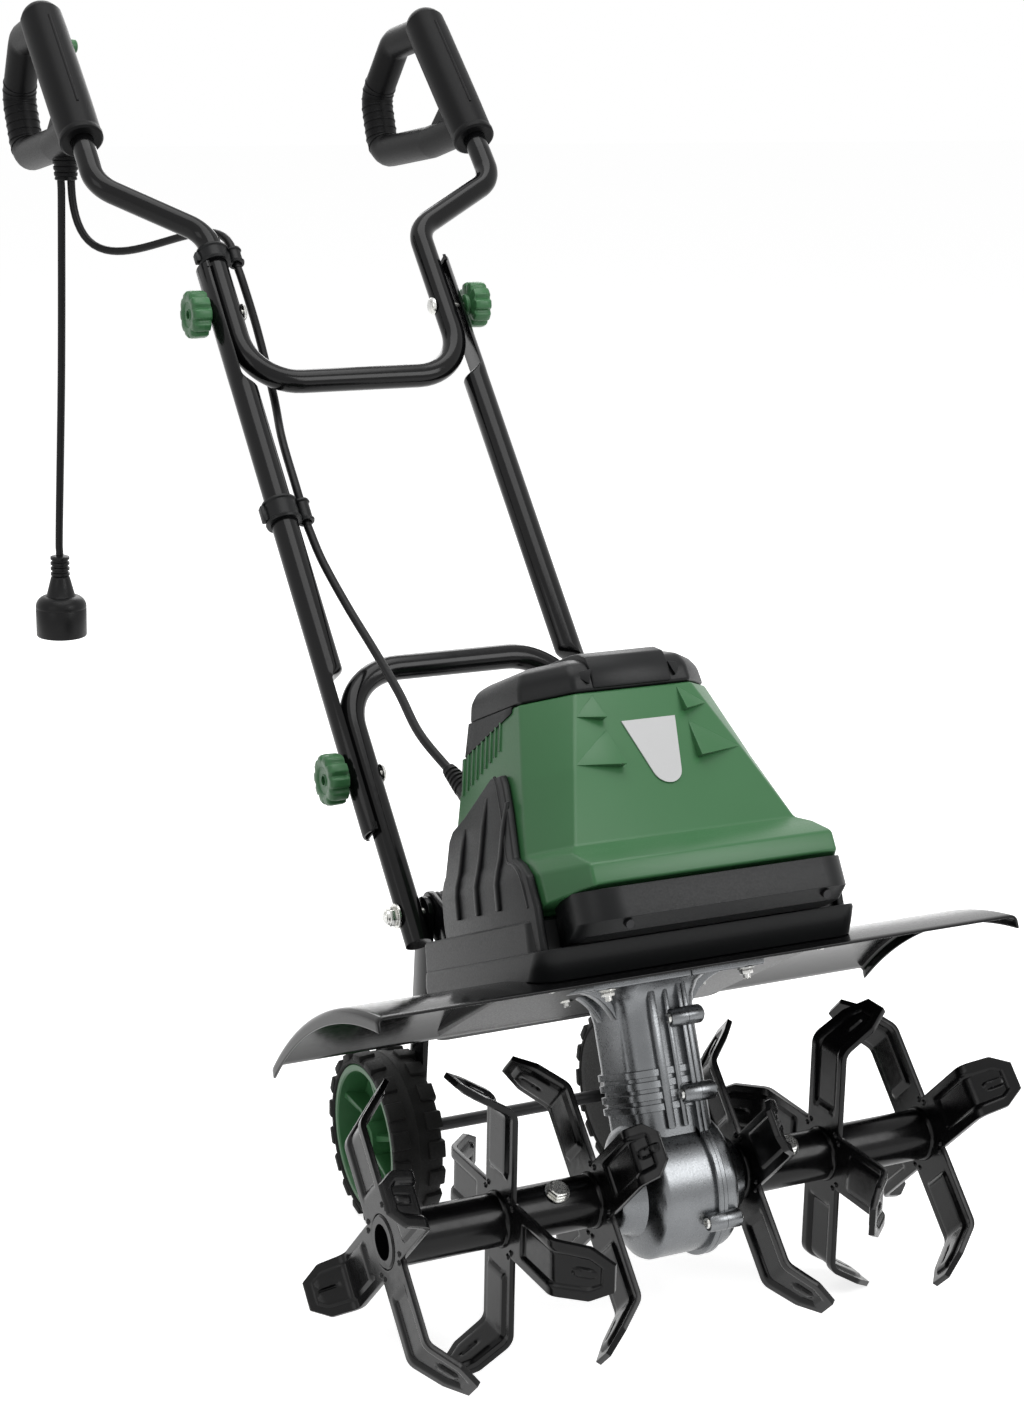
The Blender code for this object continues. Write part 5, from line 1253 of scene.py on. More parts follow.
# Each fin and each painted-shade strip: its mesh, its shift along the row and how far it stands out of the
# hood.
LOUVRE_KINDS = ((fins_bm, 0.0, 0.0012), (shade_strips_bm, 0.0033, 0.0002))
for side in HANDS:
    for index in range(LOUVRES):
        share = index / (LOUVRES - 1)
        foot = between(LOUVRE_FOOT, share)
        head = between(LOUVRE_HEAD, share)
        for bm, shift, proud in LOUVRE_KINDS:
            rows = []
            for z in (foot, head):
                inner = side * (cover_at(z)[3] - LOUVRE_ROOT)
                outer = side * (cover_at(z)[3] + proud)
                lean = between(LOUVRE_Y, share) + shift + (z - foot) * LOUVRE_LEAN
                rows.append(level_row(inner, outer, lean - LOUVRE_HALF, lean + LOUVRE_HALF, z))
            joined(bm, softened(loft(rows), 0.0004), CHASSIS)
add_piece("hood_louvres", fins_bm, COVER_ABS, "chassis")
# The black strips between the fins are painted shade for the dark inside the openings, not real holes.
add_piece("hood_opening_shade", shade_strips_bm, HOUSING_NYLON, "chassis")

# %% [markdown]
# ## Gland of the motor lead
# Where the lead enters the hood, a ribbed gland of soft PVC keeps it from kinking at the edge. It is
# turned round the lead's own end direction, thin at its tip and flared at its root in the cover.

# %% Ribbed gland
GLAND_RIBS = 5
GLAND_PITCH = 0.0046
GLAND_GROWTH = 0.0005
# The outline of one rib: distance along it and swell beyond the gland.
GLAND_RIB = ((0.0, -0.0006), (0.0007, 0.0004), (0.0026, 0.0005), (0.0033, -0.0004))
GLAND_TIP = -0.006
GLAND_ROOT = 0.034
GLAND_BORE = CORD_R + 0.0004

gland_line = [(GLAND_TIP, GLAND_BORE), (GLAND_TIP, 0.0047), (GLAND_TIP + 0.0008, 0.0052)]
for index in range(GLAND_RIBS):
    along = GLAND_TIP + 0.0030 + GLAND_PITCH * index
    radius = 0.0054 + GLAND_GROWTH * index
    gland_line += [(along + step, radius + swell) for step, swell in GLAND_RIB]
gland_line += [(0.0210, 0.0078), (GLAND_ROOT, 0.0092), (GLAND_ROOT, GLAND_BORE)]
gland_way = Vector(motor_route[-1]) - Vector(motor_route[-2])
gland_place = FOLD @ Matrix.Translation(motor_route[-1]) @ facing(gland_way)
gland_bm = assembled(gland_place, turned(gland_line, 36))
add_piece("ribbed_gland", gland_bm, CORD_PVC, "chassis")

# %% [markdown]
# ## Shield
# A white shield is let into the front of the hood. It is an inset plate with a rounded edge and a thin
# raised border, lying flat on the sloping panel.

# %% Shield with its border
SHIELD = [(-0.0190, 0.3205), (0.0230, 0.3205), *arc((0.0020, 0.2845), 0.0112, -15.0, -165.0, 14)]
SHIELD_PROUD = 0.0011
SHIELD_SUNK = 0.0010
SHIELD_BORDER = 0.0016
SHIELD_STEP = (0.0004, 0.0006)

corners = [(x, hood_front(0.0, z) + SHIELD_SUNK, z) for x, z in SHIELD]
shield, _ = drawn_out(corners, (0.0, -SHIELD_SUNK - SHIELD_PROUD, 0.0))
bmesh.ops.recalc_face_normals(shield, faces=shield.faces)
front_face = min(shield.faces, key=lambda f: f.calc_center_median().y)
bmesh.ops.inset_individual(shield, faces=[front_face], thickness=SHIELD_BORDER, depth=0.0)
bmesh.ops.inset_individual(shield, faces=[front_face], thickness=SHIELD_STEP[0], depth=-SHIELD_STEP[1])
add_piece("blank_shield", assembled(CHASSIS, shield), PLATE_ACRYLIC, "chassis", edge=0.0003)

# %% [markdown]
# ## Top cap and bumper
# A black cap closes the hood and a soft-edged bumper runs under its front ledge. The cap is bridged
# from the hood's own top section inwards, with a generous round-over, a raised middle and two sunk
# screws. The bumper is one section drawn from end to end, swept back at its ends and held by two screws.

# %% Cap
CAP_SECTIONS = (
    (0.3443, 0.0455, -0.0713, 0.0738, -0.0399, 0.0460, 0.0500, 0.0698),
    (0.3580, 0.0450, -0.0695, 0.0716, -0.0388, 0.0446, 0.0486, 0.0668),
    (0.3660, 0.0430, -0.0640, 0.0665, -0.0350, 0.0410, 0.0450, 0.0605),
    (0.3700, 0.0380, -0.0530, 0.0575, -0.0275, 0.0345, 0.0390, 0.0520),
    (0.3712, 0.0300, -0.0400, 0.0440, -0.0190, 0.0270, 0.0300, 0.0400),
)
# The raised middle of the cap, seen from the side.
CROWN = (
    (-0.0722, 0.3462),
    (-0.0712, 0.3590),
    (-0.0660, 0.3690),
    (-0.0560, 0.3732),
    (-0.0430, 0.3745),
    (0.0430, 0.3745),
    (0.0540, 0.3725),
    (0.0630, 0.3670),
    (0.0670, 0.3590),
    (0.0690, 0.3462),
)
CROWN_HALF = 0.0310
CAP_EDGE = 0.0030
CAP_LIP = ((0.030, -0.0716, 0.3600), (0.044, -0.0665, 0.3590), (0.034, -0.0735, 0.3495))
CAP_LIP_DEPTH = (0.0, 0.006, 0.0)
# A sunk screw well: distance out of the cap and radius.
WELL = (
    (0.0, 0.0),
    (0.0, 0.0062),
    (0.0052, 0.0062),
    (0.0058, 0.0054),
    (0.0058, 0.0042),
    (0.0012, 0.0038),
    (0.0012, 0.0),
)
WELL_AT = (0.058, 0.020, 0.3590)

cap = loft([eight_corners(section) for section in CAP_SECTIONS])
cap_bm = assembled(
    CHASSIS,
    softened(cap, CAP_EDGE, 3, 12.0, clamp=True),
    plate(CROWN, (-CROWN_HALF, CROWN_HALF), 0.0016),
)
for side in HANDS:
    lip, _ = drawn_out([(side * x, y, z) for x, y, z in CAP_LIP], CAP_LIP_DEPTH)
    bmesh.ops.recalc_face_normals(lip, faces=lip.faces)
    joined(cap_bm, softened(lip, 0.0005), CHASSIS)
    stand = CHASSIS @ Matrix.Translation((side * WELL_AT[0], *WELL_AT[1:]))
    joined(cap_bm, turned(WELL, 24), stand @ Matrix.Rotation(-math.pi / 2, 4, "Y"))

# %% Skirt of the cap, which reaches down each side round the louvres
SKIRT_STEPS = 6
SKIRT_Y = (-0.0300, 0.0455)
SKIRT_FOOT = (0.3400, 0.3205)
SKIRT_TOP = 0.3446
SKIRT_PROUD = 0.0011
SKIRT_ROOT = 0.001
HOOD_TOP = COVER_SECTIONS[-1][0]

for side in HANDS:
    rows = []
    for step in range(SKIRT_STEPS + 1):
        share = step / SKIRT_STEPS
        foot = between(SKIRT_FOOT, share)
        low_x = cover_at(foot)[3]
        top_x = cover_at(HOOD_TOP)[3]
        corners = [(low_x - SKIRT_ROOT, foot), (low_x + SKIRT_PROUD, foot)]
        corners += [(top_x + SKIRT_PROUD, SKIRT_TOP), (top_x - SKIRT_ROOT, SKIRT_TOP)]
        rows.append([(side * x, between(SKIRT_Y, share), z) for x, z in corners])
    joined(cap_bm, softened(loft(rows), 0.0005), CHASSIS)
add_piece("moulded_cap", cap_bm, HOUSING_NYLON, "chassis", ["top_cap"], crease=30.0)

# %% Bumper
BUMPER_HALF = 0.1015
BUMPER_SWEEP = 0.026
BUMPER_BACK = -0.1020
BUMPER_FACE = (
    (BUMPER_BACK, 0.1990),
    (-0.1460, 0.2070),
    (-0.1530, 0.2065),
    (-0.1560, 0.1860),
    (-0.1440, 0.1775),
    (-0.1240, 0.1742),
    (BUMPER_BACK, 0.1742),
)
BUMPER_STATIONS = 9
BUMPER_END = 0.026
BUMPER_EDGE = 0.0036

stations = []
for index in range(BUMPER_STATIONS):
    turn = math.pi / 2 * index / (BUMPER_STATIONS - 1)
    out = BUMPER_HALF - BUMPER_END * (1.0 - math.sin(turn))
    stations.append((out, BUMPER_SWEEP * (1.0 - math.cos(turn))))
rows = []
for x, sweep in [(-x, sweep) for x, sweep in reversed(stations)] + stations:
    rows.append([(x, min(y + sweep, BUMPER_BACK), z) for y, z in BUMPER_FACE])
bumper_bm = assembled(CHASSIS, softened(loft(rows), BUMPER_EDGE, 4, 20.0, clamp=True))
add_piece("rounded_bumper", bumper_bm, HOUSING_NYLON, "chassis", ["front_bumper"], crease=30.0)

# %% Bumper screws
# A pan head with a recess: distance out of the bumper and radius.
HEAD = (
    (-0.0040, 0.0),
    (-0.0040, 0.0030),
    (0.0, 0.0032),
    (0.0012, 0.0028),
    (0.0016, 0.0014),
    (0.0004, 0.0012),
    (0.0004, 0.0),
)
HEAD_AT = (0.075, -0.1510, 0.1830)
UP_TURN = Matrix.Rotation(-math.pi / 2, 4, "Y")
HEAD_TURN = Matrix.Rotation(math.radians(-65.0), 4, "X") @ UP_TURN

bumper_screws = bmesh.new()
for side in HANDS:
    stand = CHASSIS @ Matrix.Translation((side * HEAD_AT[0], *HEAD_AT[1:])) @ HEAD_TURN
    joined(bumper_screws, turned(HEAD, 20), stand)
add_piece("bumper_screws", bumper_screws, SPRING_STEEL, "chassis")

# %% [markdown]
# ## Wheels
# Two small transport wheels carry the machine to the bed. The tyre has a smooth crown with a moulding
# line, and a row of square lugs over each shoulder; a thin black disc covers the inner side of the wheel,
# so that side renders dark. The body is turned from its section; one lug is modelled as a softened block
# and repeated round the rim, half a step out of line on the far shoulder.

# %% Tyres with lugs
WHEEL_R = 0.067
WHEEL_X = (0.0885, 0.1305)
WHEEL_MID = sum(WHEEL_X) / 2
CROWN_R = 0.0642
RIM_R = 0.0574
LUG_COUNT = 18
LUG_HALF = 0.0066
LUG_WIDE = 0.0135
LUG_Z = (0.0600, WHEEL_R - 0.0003)
# A lug flares below one radius, and drops at its outer edge.
LUG_FLARE = (0.0615, 1.12)
LUG_SHOULDER = (0.002, 0.0010)

low, high = WHEEL_X
section = [(low + 0.0020, RIM_R + 0.0003), (low + 0.0008, 0.0588), (low + 0.0010, 0.0612)]
section += [(low + 0.0026, 0.0628), (low + 0.0060, 0.0638), (WHEEL_MID - 0.008, CROWN_R)]
section += [(WHEEL_MID - 0.0008, CROWN_R + 0.0002), (WHEEL_MID, CROWN_R + 0.0007)]
section += [(2 * WHEEL_MID - x, radius) for x, radius in reversed(section[:-1])]
# A thin black disc over the wheel's inner side, which makes that side render dark.
dark_inner_disc = [(low + 0.0006, 0.0180), (low - 0.0002, 0.0185), (low + 0.0008, 0.0330), (low - 0.0002, 0.0480)]
dark_inner_disc += [(low + 0.0012, RIM_R - 0.0002), (low + 0.0026, RIM_R - 0.0002), (low + 0.0016, 0.0180)]
for side, hand in HANDS.items():
    place = WHEEL_AXIS @ FLIP[side]
    tyre_bm = assembled(place, turned(section, 96))
    for row, edge in enumerate((low, high - LUG_WIDE)):
        for index in range(LUG_COUNT):
            lug = box((edge, edge + LUG_WIDE), (-LUG_HALF, LUG_HALF), LUG_Z, 0.0012)
            outer = edge + row * LUG_WIDE
            for vert in lug.verts:
                if vert.co.z < LUG_FLARE[0]:
                    vert.co.y *= LUG_FLARE[1]
                elif abs(vert.co.x - outer) < LUG_SHOULDER[0]:
                    vert.co.z -= LUG_SHOULDER[1]
            turn = Matrix.Rotation(math.tau * (index + row / 2) / LUG_COUNT, 4, "X")
            joined(tyre_bm, lug, place @ turn)
    joined(tyre_bm, turned(dark_inner_disc, 96), place)
    add_piece(f"{hand}_lugged_tyre", tyre_bm, TYRE_RUBBER, f"{hand}_wheel", [f"{hand}_tyre"])

# %% [markdown]
# ## Rims
# The rims are green mouldings: a hub, a sunk web and five deep spokes that flare out to the flange.
# The round parts are one turned section, and each spoke is bridged from three tapered sections, so that
# it dips between hub and flange as a moulded rib does.

# %% Spoked rims
HUB_BORE = 0.0053
SPOKES = 5
SPOKE_HALF = 0.0026
# Radius, reach towards the outside and half-thickness of each station of a spoke.
SPOKE_STATIONS = ((0.0110, 0.0180, 1.35), (0.0300, 0.0120, 1.0), (0.0515, 0.0175, 1.6))

SPOKE_TAPER = 0.7
SPOKE_BACK = WHEEL_MID - 0.003

low, high = WHEEL_X
web = (WHEEL_MID - 0.005, WHEEL_MID - 0.002)
section = [(low + 0.0010, HUB_BORE), (low + 0.0010, 0.0120), (low + 0.0030, 0.0135)]
section += [(web[0], 0.0150), (web[0], 0.0460), (low + 0.0040, 0.0510), (low + 0.0030, 0.0525)]
section += [(low + 0.0030, RIM_R - 0.0008), (low + 0.0038, RIM_R), (high - 0.0028, RIM_R)]
section += [(high - 0.0020, RIM_R - 0.0008), (high - 0.0020, 0.0530), (high - 0.0030, 0.0518)]
section += [(WHEEL_MID - 0.001, 0.0480), (web[1], 0.0460), (web[1], 0.0170), (WHEEL_MID, 0.0150)]
section += [(high - 0.0040, 0.0138), (high - 0.0030, 0.0128), (high - 0.0030, HUB_BORE)]
for side, hand in HANDS.items():
    place = WHEEL_AXIS @ FLIP[side]
    rim_bm = assembled(place, turned(section, 72))
    for index in range(SPOKES):
        turn = Matrix.Rotation(math.tau * index / SPOKES, 4, "X")
        for way in (1.0, -1.0):
            rows = []
            for radius, reach, thick in SPOKE_STATIONS:
                half = SPOKE_HALF * thick
                face = SPOKE_BACK + way * (reach if way > 0 else reach - 0.003)
                top = half * SPOKE_TAPER
                corners = [(SPOKE_BACK, -half), (face, -top), (face, top), (SPOKE_BACK, half)]
                rows.append([(x, y, radius) for x, y in corners])
            joined(rim_bm, softened(loft(rows), 0.0008), place @ turn)
    add_piece(f"{hand}_spoked_rim", rim_bm, COVER_ABS, f"{hand}_wheel", [f"{hand}_rim"])

# %% [markdown]
# ## Wheel carriage
# The axle hangs on two flat arms that swing about pivot bolts in brackets behind the housing, and a
# torsion spring on each bolt pulls the wheels down. Flat bar is a plate with softened edges; the
# spring is a helix swept as wire with a leg at each end.

# %% Axle, arms and brackets
AXLE_R = 0.005
AXLE_END = 0.1365
ARM_X = (0.0825, 0.0873)
ARM_BAR_HALF = 0.012
AXLE_YZ = (0.0145, -0.1827)
BRACKET_X = (0.0770, 0.0818)
PIVOT_YZ = (0.15384, 0.21923)
BRACKET_FOOT = (0.0971, 0.140, 0.196)

# The washer and the pressed cap at each end: distance from the middle and radius.
AXLE_WASHER = ring_line((0.1310, 0.1322), AXLE_R, 0.0095)
AXLE_CAP = ((0.1322, 0.0), (0.1322, 0.0082), (0.1345, 0.0078), (0.1360, 0.0060))
AXLE_CAP += ((AXLE_END, 0.0030), (AXLE_END, 0.0))

rod_end = AXLE_END - 0.001
axle_bm = assembled(WHEEL_AXIS, turned(ring_line((-rod_end, rod_end), 0.0, AXLE_R), 32))
for side in HANDS:
    for line in (AXLE_WASHER, AXLE_CAP):
        joined(axle_bm, turned(line, 32), WHEEL_AXIS @ FLIP[side])
add_piece("capped_axle", axle_bm, SPRING_STEEL, "wheel_carriage", ["wheel_axle"])
foot, bottom, top = BRACKET_FOOT
arm = arc((0.0, 0.0), ARM_BAR_HALF, 5.0, 175.0, 14) + arc(AXLE_YZ, ARM_BAR_HALF, 185.0, 355.0, 14)
bracket = [(foot, bottom), *arc(PIVOT_YZ, 0.015, -40.0, 120.0, 14), (foot, top)]
for side, hand in HANDS.items():
    arm_bm = assembled(PIVOT_AXIS, plate(arm, (side * ARM_X[0], side * ARM_X[1]), 0.0008))
    add_piece(f"{hand}_swing_arm", arm_bm, TUBE_ENAMEL, "wheel_carriage", [f"{hand}_wheel_arm"])
    flange = (side * (BRACKET_X[0] - 0.020), side * BRACKET_X[1])
    bracket_bm = assembled(
        CHASSIS,
        plate(bracket, (side * BRACKET_X[0], side * BRACKET_X[1]), 0.0008),
        box(flange, (foot, foot + 0.0035), (bottom, top), 0.0010),
    )
    for z in (bottom + 0.013, top - 0.013):
        stand = CHASSIS @ Matrix.Translation((side * (BRACKET_X[0] - 0.010), foot + 0.0030, z))
        joined(bracket_bm, hexagon((0.0, 0.0050), 0.0062), stand @ ALONG_Y)
    add_piece(f"{hand}_pivot_bracket", bracket_bm, TUBE_ENAMEL, "chassis", [f"{hand}_bracket"])

# %% Pivot bolts and torsion springs
PIVOT_X = (0.0555, 0.1190)
PIVOT_R = 0.004
SPRING_X = (0.0590, 0.0750)
COIL_R = 0.0125
WIRE_R = 0.0016
COIL_TURNS = 3.5
COIL_POINTS = 32
SPRING_LEG = 0.022

low, high = PIVOT_X
shank = [(low, 0.0), (low, PIVOT_R), (high - 0.0010, PIVOT_R), (high, PIVOT_R - 0.0010), (high, 0.0)]
washer = [(0.1083, PIVOT_R), (0.1083, 0.0094), (0.1085, 0.0096)]
washer += [(0.1099, 0.0096), (0.1101, 0.0094), (0.1101, PIVOT_R)]
collar = [(0.1157, PIVOT_R), (0.1157, 0.0060), (0.1172, 0.0054), (0.1174, PIVOT_R)]
count = round(COIL_TURNS * COIL_POINTS)
coil = []
for step in range(count + 1):
    turn = math.tau * step / COIL_POINTS
    x = between(SPRING_X, step / count)
    coil.append(Vector((x, COIL_R * math.cos(turn), COIL_R * math.sin(turn))))
leg = Vector((0.0, 0.0, -SPRING_LEG))
coil = [coil[0] + leg, *coil, coil[-1] + leg]
for side, hand in HANDS.items():
    place = PIVOT_AXIS @ FLIP[side]
    bolt_bm = assembled(
        place,
        turned(shank, 28),
        hexagon((low - 0.0045, low + 0.0010), BOLT_HEX),
        turned(washer, 36),
        hexagon((0.1100, 0.1158), BOLT_HEX),
        turned(collar, 28),
    )
    add_piece(f"{hand}_pivot_screw", bolt_bm, BOLT_ZINC, "chassis", [f"{hand}_pivot_bolt"])
    spring_bm = assembled(place, bar(coil, WIRE_R, 3))
    add_piece(f"{hand}_wound_spring", spring_bm, SPRING_STEEL, "chassis", [f"{hand}_torsion_spring"])

# %% [markdown]
# ## Handle tubes
# The handle is three stages of bent tube: a lower bow bolted to the chassis, two middle tubes whose
# ends are pressed flat against the bows, and an upper bow that cranks out to the grips. A bent tube is
# a rounded path with a round section. The pressed ends need more: their sections run from a circle to
# a D, ring by ring, as the press leaves them.

# %% Lower and upper bows
HANDLE_R = 0.010
HANDLE_WALL = 0.0015
BOW_X = 0.098
BOW_FOOT = -0.14302
LOWER_BAR = 0.090
LOWER_BEND = 0.050
UPPER_BAR = -0.0715
UPPER_BEND = 0.045
CRANK_BEND = 0.028
CRANK = ((0.098, 0.083, 0.0), (0.184, 0.1345, 0.003))
NECK_Y = (-0.017, 0.142)

half = [(BOW_X, LOWER_BAR, 0.0), (BOW_X, BOW_FOOT, 0.0)]
corners = [(-x, y, z) for x, y, z in reversed(half)] + half
lower_bm = assembled(FOLD, bar(rounded_path(corners, [LOWER_BEND] * 2, 16), HANDLE_R, 9, HANDLE_WALL))
add_piece("lower_bow", lower_bm, TUBE_ENAMEL, "chassis", ["lower_handle"])

into_grip = Matrix.Translation((GRIP_X, GRIP_Y, 0.0)) @ GRIP_LEAN
half = [Vector((BOW_X, UPPER_BAR, 0.0)), *[Vector(spot) for spot in CRANK]]
half += [into_grip @ Vector((0.0, y, 0.0)) for y in NECK_Y]
mirrored = [Vector((-spot.x, spot.y, spot.z)) for spot in half]
crank = [CRANK_BEND] * 3
path = rounded_path([*reversed(mirrored), *half], [*crank, UPPER_BEND, UPPER_BEND, *crank], 14)
upper_bm = assembled(UPPER, bar(path, HANDLE_R, 9))
add_piece("upper_bow", upper_bm, TUBE_ENAMEL, "upper_frame", ["upper_handle"])

# %% Middle tubes with pressed ends
MIDDLE_R = 0.011
MIDDLE_X = 0.105
PRESSED_X = 0.1083
MIDDLE_ENDS = (-0.050, KNOB_STEP + 0.047)
PRESS_LENGTH = {-1: 0.136, 1: 0.119}
PRESS_RUN = 0.012
PRESS_STEPS = 6
PRESS_SPREAD = 0.06
TUBE_SIDES = 40


def middle_section(side, y, pressed, shrink=1.0):
    """A ring of the middle tube, from round to fully pressed flat on its inner side."""
    ring = []
    for step in range(TUBE_SIDES):
        turn = math.tau * step / TUBE_SIDES
        x = MIDDLE_X + MIDDLE_R * shrink * math.cos(turn)
        flat = max(x, PRESSED_X + (1.0 - shrink) * MIDDLE_R)
        wide = 1.0 + PRESS_SPREAD * pressed
        ring.append((side * (x + (flat - x) * pressed), y, MIDDLE_R * shrink * wide * math.sin(turn)))
    return ring


low, high = MIDDLE_ENDS
# Distance up the handle, share of the pressing and share of the size at each ring.
stations = [(low, 1.0, 0.95), (low + 0.0010, 1.0, 1.0)]
shares = [step / PRESS_STEPS for step in range(PRESS_STEPS + 1)]
stations += [(low + PRESS_LENGTH[-1] + PRESS_RUN * (s - 0.5), 1.0 - eased(s), 1.0) for s in shares]
stations += [(high - PRESS_LENGTH[1] + PRESS_RUN * (s - 0.5), eased(s), 1.0) for s in shares]
stations += [(high - 0.0010, 1.0, 1.0), (high, 1.0, 0.95)]
for side, hand in HANDS.items():
    tube = loft([middle_section(side, *station) for station in stations])
    sunk_ends(tube, 0.0013, 0.0002, 0.0060)
    middle_bm = assembled(FOLD, tube)
    add_piece(f"{hand}_pressed_tube", middle_bm, TUBE_ENAMEL, "middle_frame", [f"{hand}_middle_tube"])

# %% [markdown]
# ## Clamp knobs and bolts
# Four green hand knobs clamp the stages together. A knob is fluted for the fingers and has a shallow
# dish in its face with the bolt's bore in the middle. Its outline is a circle dipped ten times round,
# drawn through rings that narrow to the neck and round over at the face; the bolt's dome shows inside.

# %% Fluted knobs
KNOB_R = 0.020
KNOB_LOBES = 10
KNOB_POINTS = 120
FLUTE_DEEP = 0.0026
# Distance from the middle, radius and share of the flutes at each ring of the knob.
KNOB_RINGS = (
    (0.1164, 0.0086, 0.0),
    (0.1168, 0.0090, 0.0),
    (0.1196, 0.0094, 0.0),
    (0.1200, 0.0170, 0.6),
    (0.1206, 0.0190, 1.0),
    (0.1225, 0.0197, 1.0),
    (0.1310, KNOB_R, 1.0),
    (0.1340, 0.0195, 1.0),
    (0.1354, 0.0182, 0.9),
    (0.1360, 0.0160, 0.5),
    (0.1357, 0.0112, 0.0),
    (0.1352, 0.0106, 0.0),
    (0.1346, 0.0102, 0.0),
    (0.1343, 0.0050, 0.0),
    (0.1350, 0.0046, 0.0),
    (0.1352, 0.0042, 0.0),
    (0.1350, 0.0037, 0.0),
    (0.1312, 0.0036, 0.0),
)


def knob_ring(side, x, radius, fluted):
    """A ring of the knob with its ten finger flutes."""
    ring = []
    for step in range(KNOB_POINTS):
        turn = math.tau * step / KNOB_POINTS
        dip = max(0.0, math.cos(KNOB_LOBES * turn)) ** 1.5
        reach = radius - FLUTE_DEEP * fluted * dip
        ring.append((side * x, reach * math.cos(turn), reach * math.sin(turn)))
    return ring


# The carriage bolt: distance from the middle and radius of its dome and its shank.
BOLT_DOME = ((0.0877, 0.0), (0.0877, 0.0076), (0.0866, 0.0074))
BOLT_DOME += ((0.0852, 0.0062), (0.0842, 0.0042), (0.0838, 0.0))
BOLT_SHANK = ring_line((0.0870, 0.1300), 0.0, 0.0030)
LEVELS = {"lower": (FOLD, "chassis"), "upper": (UPPER, "middle_frame")}

for side, hand in HANDS.items():
    for level, (place, bolted_to) in LEVELS.items():
        knob = f"{hand}_{level}_knob"
        knob_bm = assembled(place, loft([knob_ring(side, *ring) for ring in KNOB_RINGS]))
        add_piece(f"fluted_{knob}", knob_bm, COVER_ABS, knob, [knob], crease=50.0)
        bolt_bm = assembled(place @ FLIP[side], turned(BOLT_DOME, 32), turned(BOLT_SHANK, 20))
        bolt = f"{hand}_{level}_clamp_bolt"
        add_piece(f"domed_{bolt}", bolt_bm, BOLT_ZINC, bolted_to, [bolt])

# %% [markdown]
# ## Cable clips
# Two nylon clips hold the lead to the tubes: a snap band with raised rims, a small eye for the lead
# and a thumb tab on the side. Band and eye are turned rings, and a web joins them.

# %% Snap clips
CLIP_WALL = 0.0040
EYE_X = 0.0190
EYE_R = (0.0045, 0.0065)
CLIP_RIM = 0.0006
# Node, place across, radius of the tube, ends along it, frame and body of each clip.
CLIPS = (
    ("cable_clip_upper", -BOW_X, HANDLE_R, UPPER_CLIP_Y, UPPER, "upper_frame"),
    ("cable_clip_middle", -MIDDLE_X, MIDDLE_R, MIDDLE_CLIP_Y, FOLD, "middle_frame"),
)


def clip_ring(inner, outer, y_span):
    """A band along Y with raised rims at both ends."""
    low, high = y_span
    crest, dip = outer + CLIP_RIM, outer - CLIP_RIM
    section = [(low, inner), (low, outer), (low + 0.0020, crest), (low + 0.0032, dip)]
    section += [(high - 0.0032, dip), (high - 0.0020, crest), (high, outer), (high, inner)]
    return turned(section, 48)


for node_name, x, tube_r, y_span, place, body in CLIPS:
    band = clip_ring(tube_r + FACE_GAP, tube_r + CLIP_WALL - CLIP_RIM, y_span)
    clip_bm = assembled(place @ Matrix.Translation((x, 0.0, 0.0)) @ ALONG_Y, band)
    eye = clip_ring(*EYE_R, y_span)
    joined(clip_bm, eye, place @ Matrix.Translation((x + EYE_X, 0.0, 0.0)) @ ALONG_Y)
    tab = (x - tube_r - 0.0065, x - tube_r - 0.0015)
    joined(clip_bm, box(tab, (y_span[0] + 0.003, y_span[1] - 0.003), (-0.0035, 0.0035), 0.0010), place)
    web = (x + tube_r + 0.0012, x + EYE_X - EYE_R[0] - 0.0004)
    joined(clip_bm, box(web, (y_span[0] + 0.002, y_span[1] - 0.002), (-0.0030, 0.0030), 0.0004), place)
    add_piece(f"{node_name}_snap", clip_bm, HOUSING_NYLON, body, [node_name])

# %% [markdown]
# ## Grips
# Each grip is a long moulded sleeve with a closed hand bow behind it. The sleeve is turned, with a
# rounded head and a thick collar round the tube's mouth. The bow is swept along its rounded corners,
# with finger ribs on its far side, and a web fills the corner where it leaves the sleeve.

# %% Sleeves and bows
GRIP_R = 0.019
GRIP_LENGTH = 0.165
DOME_R = 0.0186
SOCKET_R = 0.0103
SOCKET_END = 0.144
BOW_R = 0.015
BOW_BEND = 0.022
BOW_TILT = 0.05
GRIP_BOW = ((0.022, -0.006), (0.060, -0.062), (0.128, -0.143))
GRIP_BOW += ((0.179, -0.120), (0.184, -0.055), (0.145, -0.004))
GRIP_WEB = ((0.016, -0.008), (0.058, -0.066), (0.080, -0.084), (0.064, -0.052), (0.060, -0.012))
WEB_HALF = 0.0095
SPINE = (Vector((0.0, 0.030, 0.0184)), Vector((0.0, 0.135, 0.0184)))
SPINE_R = 0.0014

sleeve = [(SOCKET_END, 0.0), (SOCKET_END, SOCKET_R), (0.0, SOCKET_R), (-0.0004, 0.0172), (0.0012, 0.0190)]
sleeve += [(0.0046, 0.0193), (0.0060, 0.0186), (0.0075, 0.0186), (0.0400, GRIP_R), (0.1300, GRIP_R)]
sleeve += [(0.1500, DOME_R), *arc((GRIP_LENGTH - DOME_R - 0.0004, 0.0), DOME_R, 78.0, 0.0, 10)]


def path_spot(path, share):
    """The place and direction at a share of a path's length."""
    lengths = [(b - a).length for a, b in zip(path, path[1:])]
    wanted = sum(lengths) * share
    for a, b, length in zip(path, path[1:], lengths):
        if wanted <= length:
            return a.lerp(b, wanted / length), (b - a).normalized()
        wanted -= length
    return path[-1], (path[-1] - path[-2]).normalized()


# %% Finger ribs and the boot round the leads
FINGER_RIBS = 9
# The first rib's share of the bow's length, and the step to the next one.
RIB_SHARES = (0.50, 0.022)
RIB_RISE = 0.0006
BOOT_RIBS = 5
BOOT_PITCH = 0.0052
BOOT_R = 0.0130
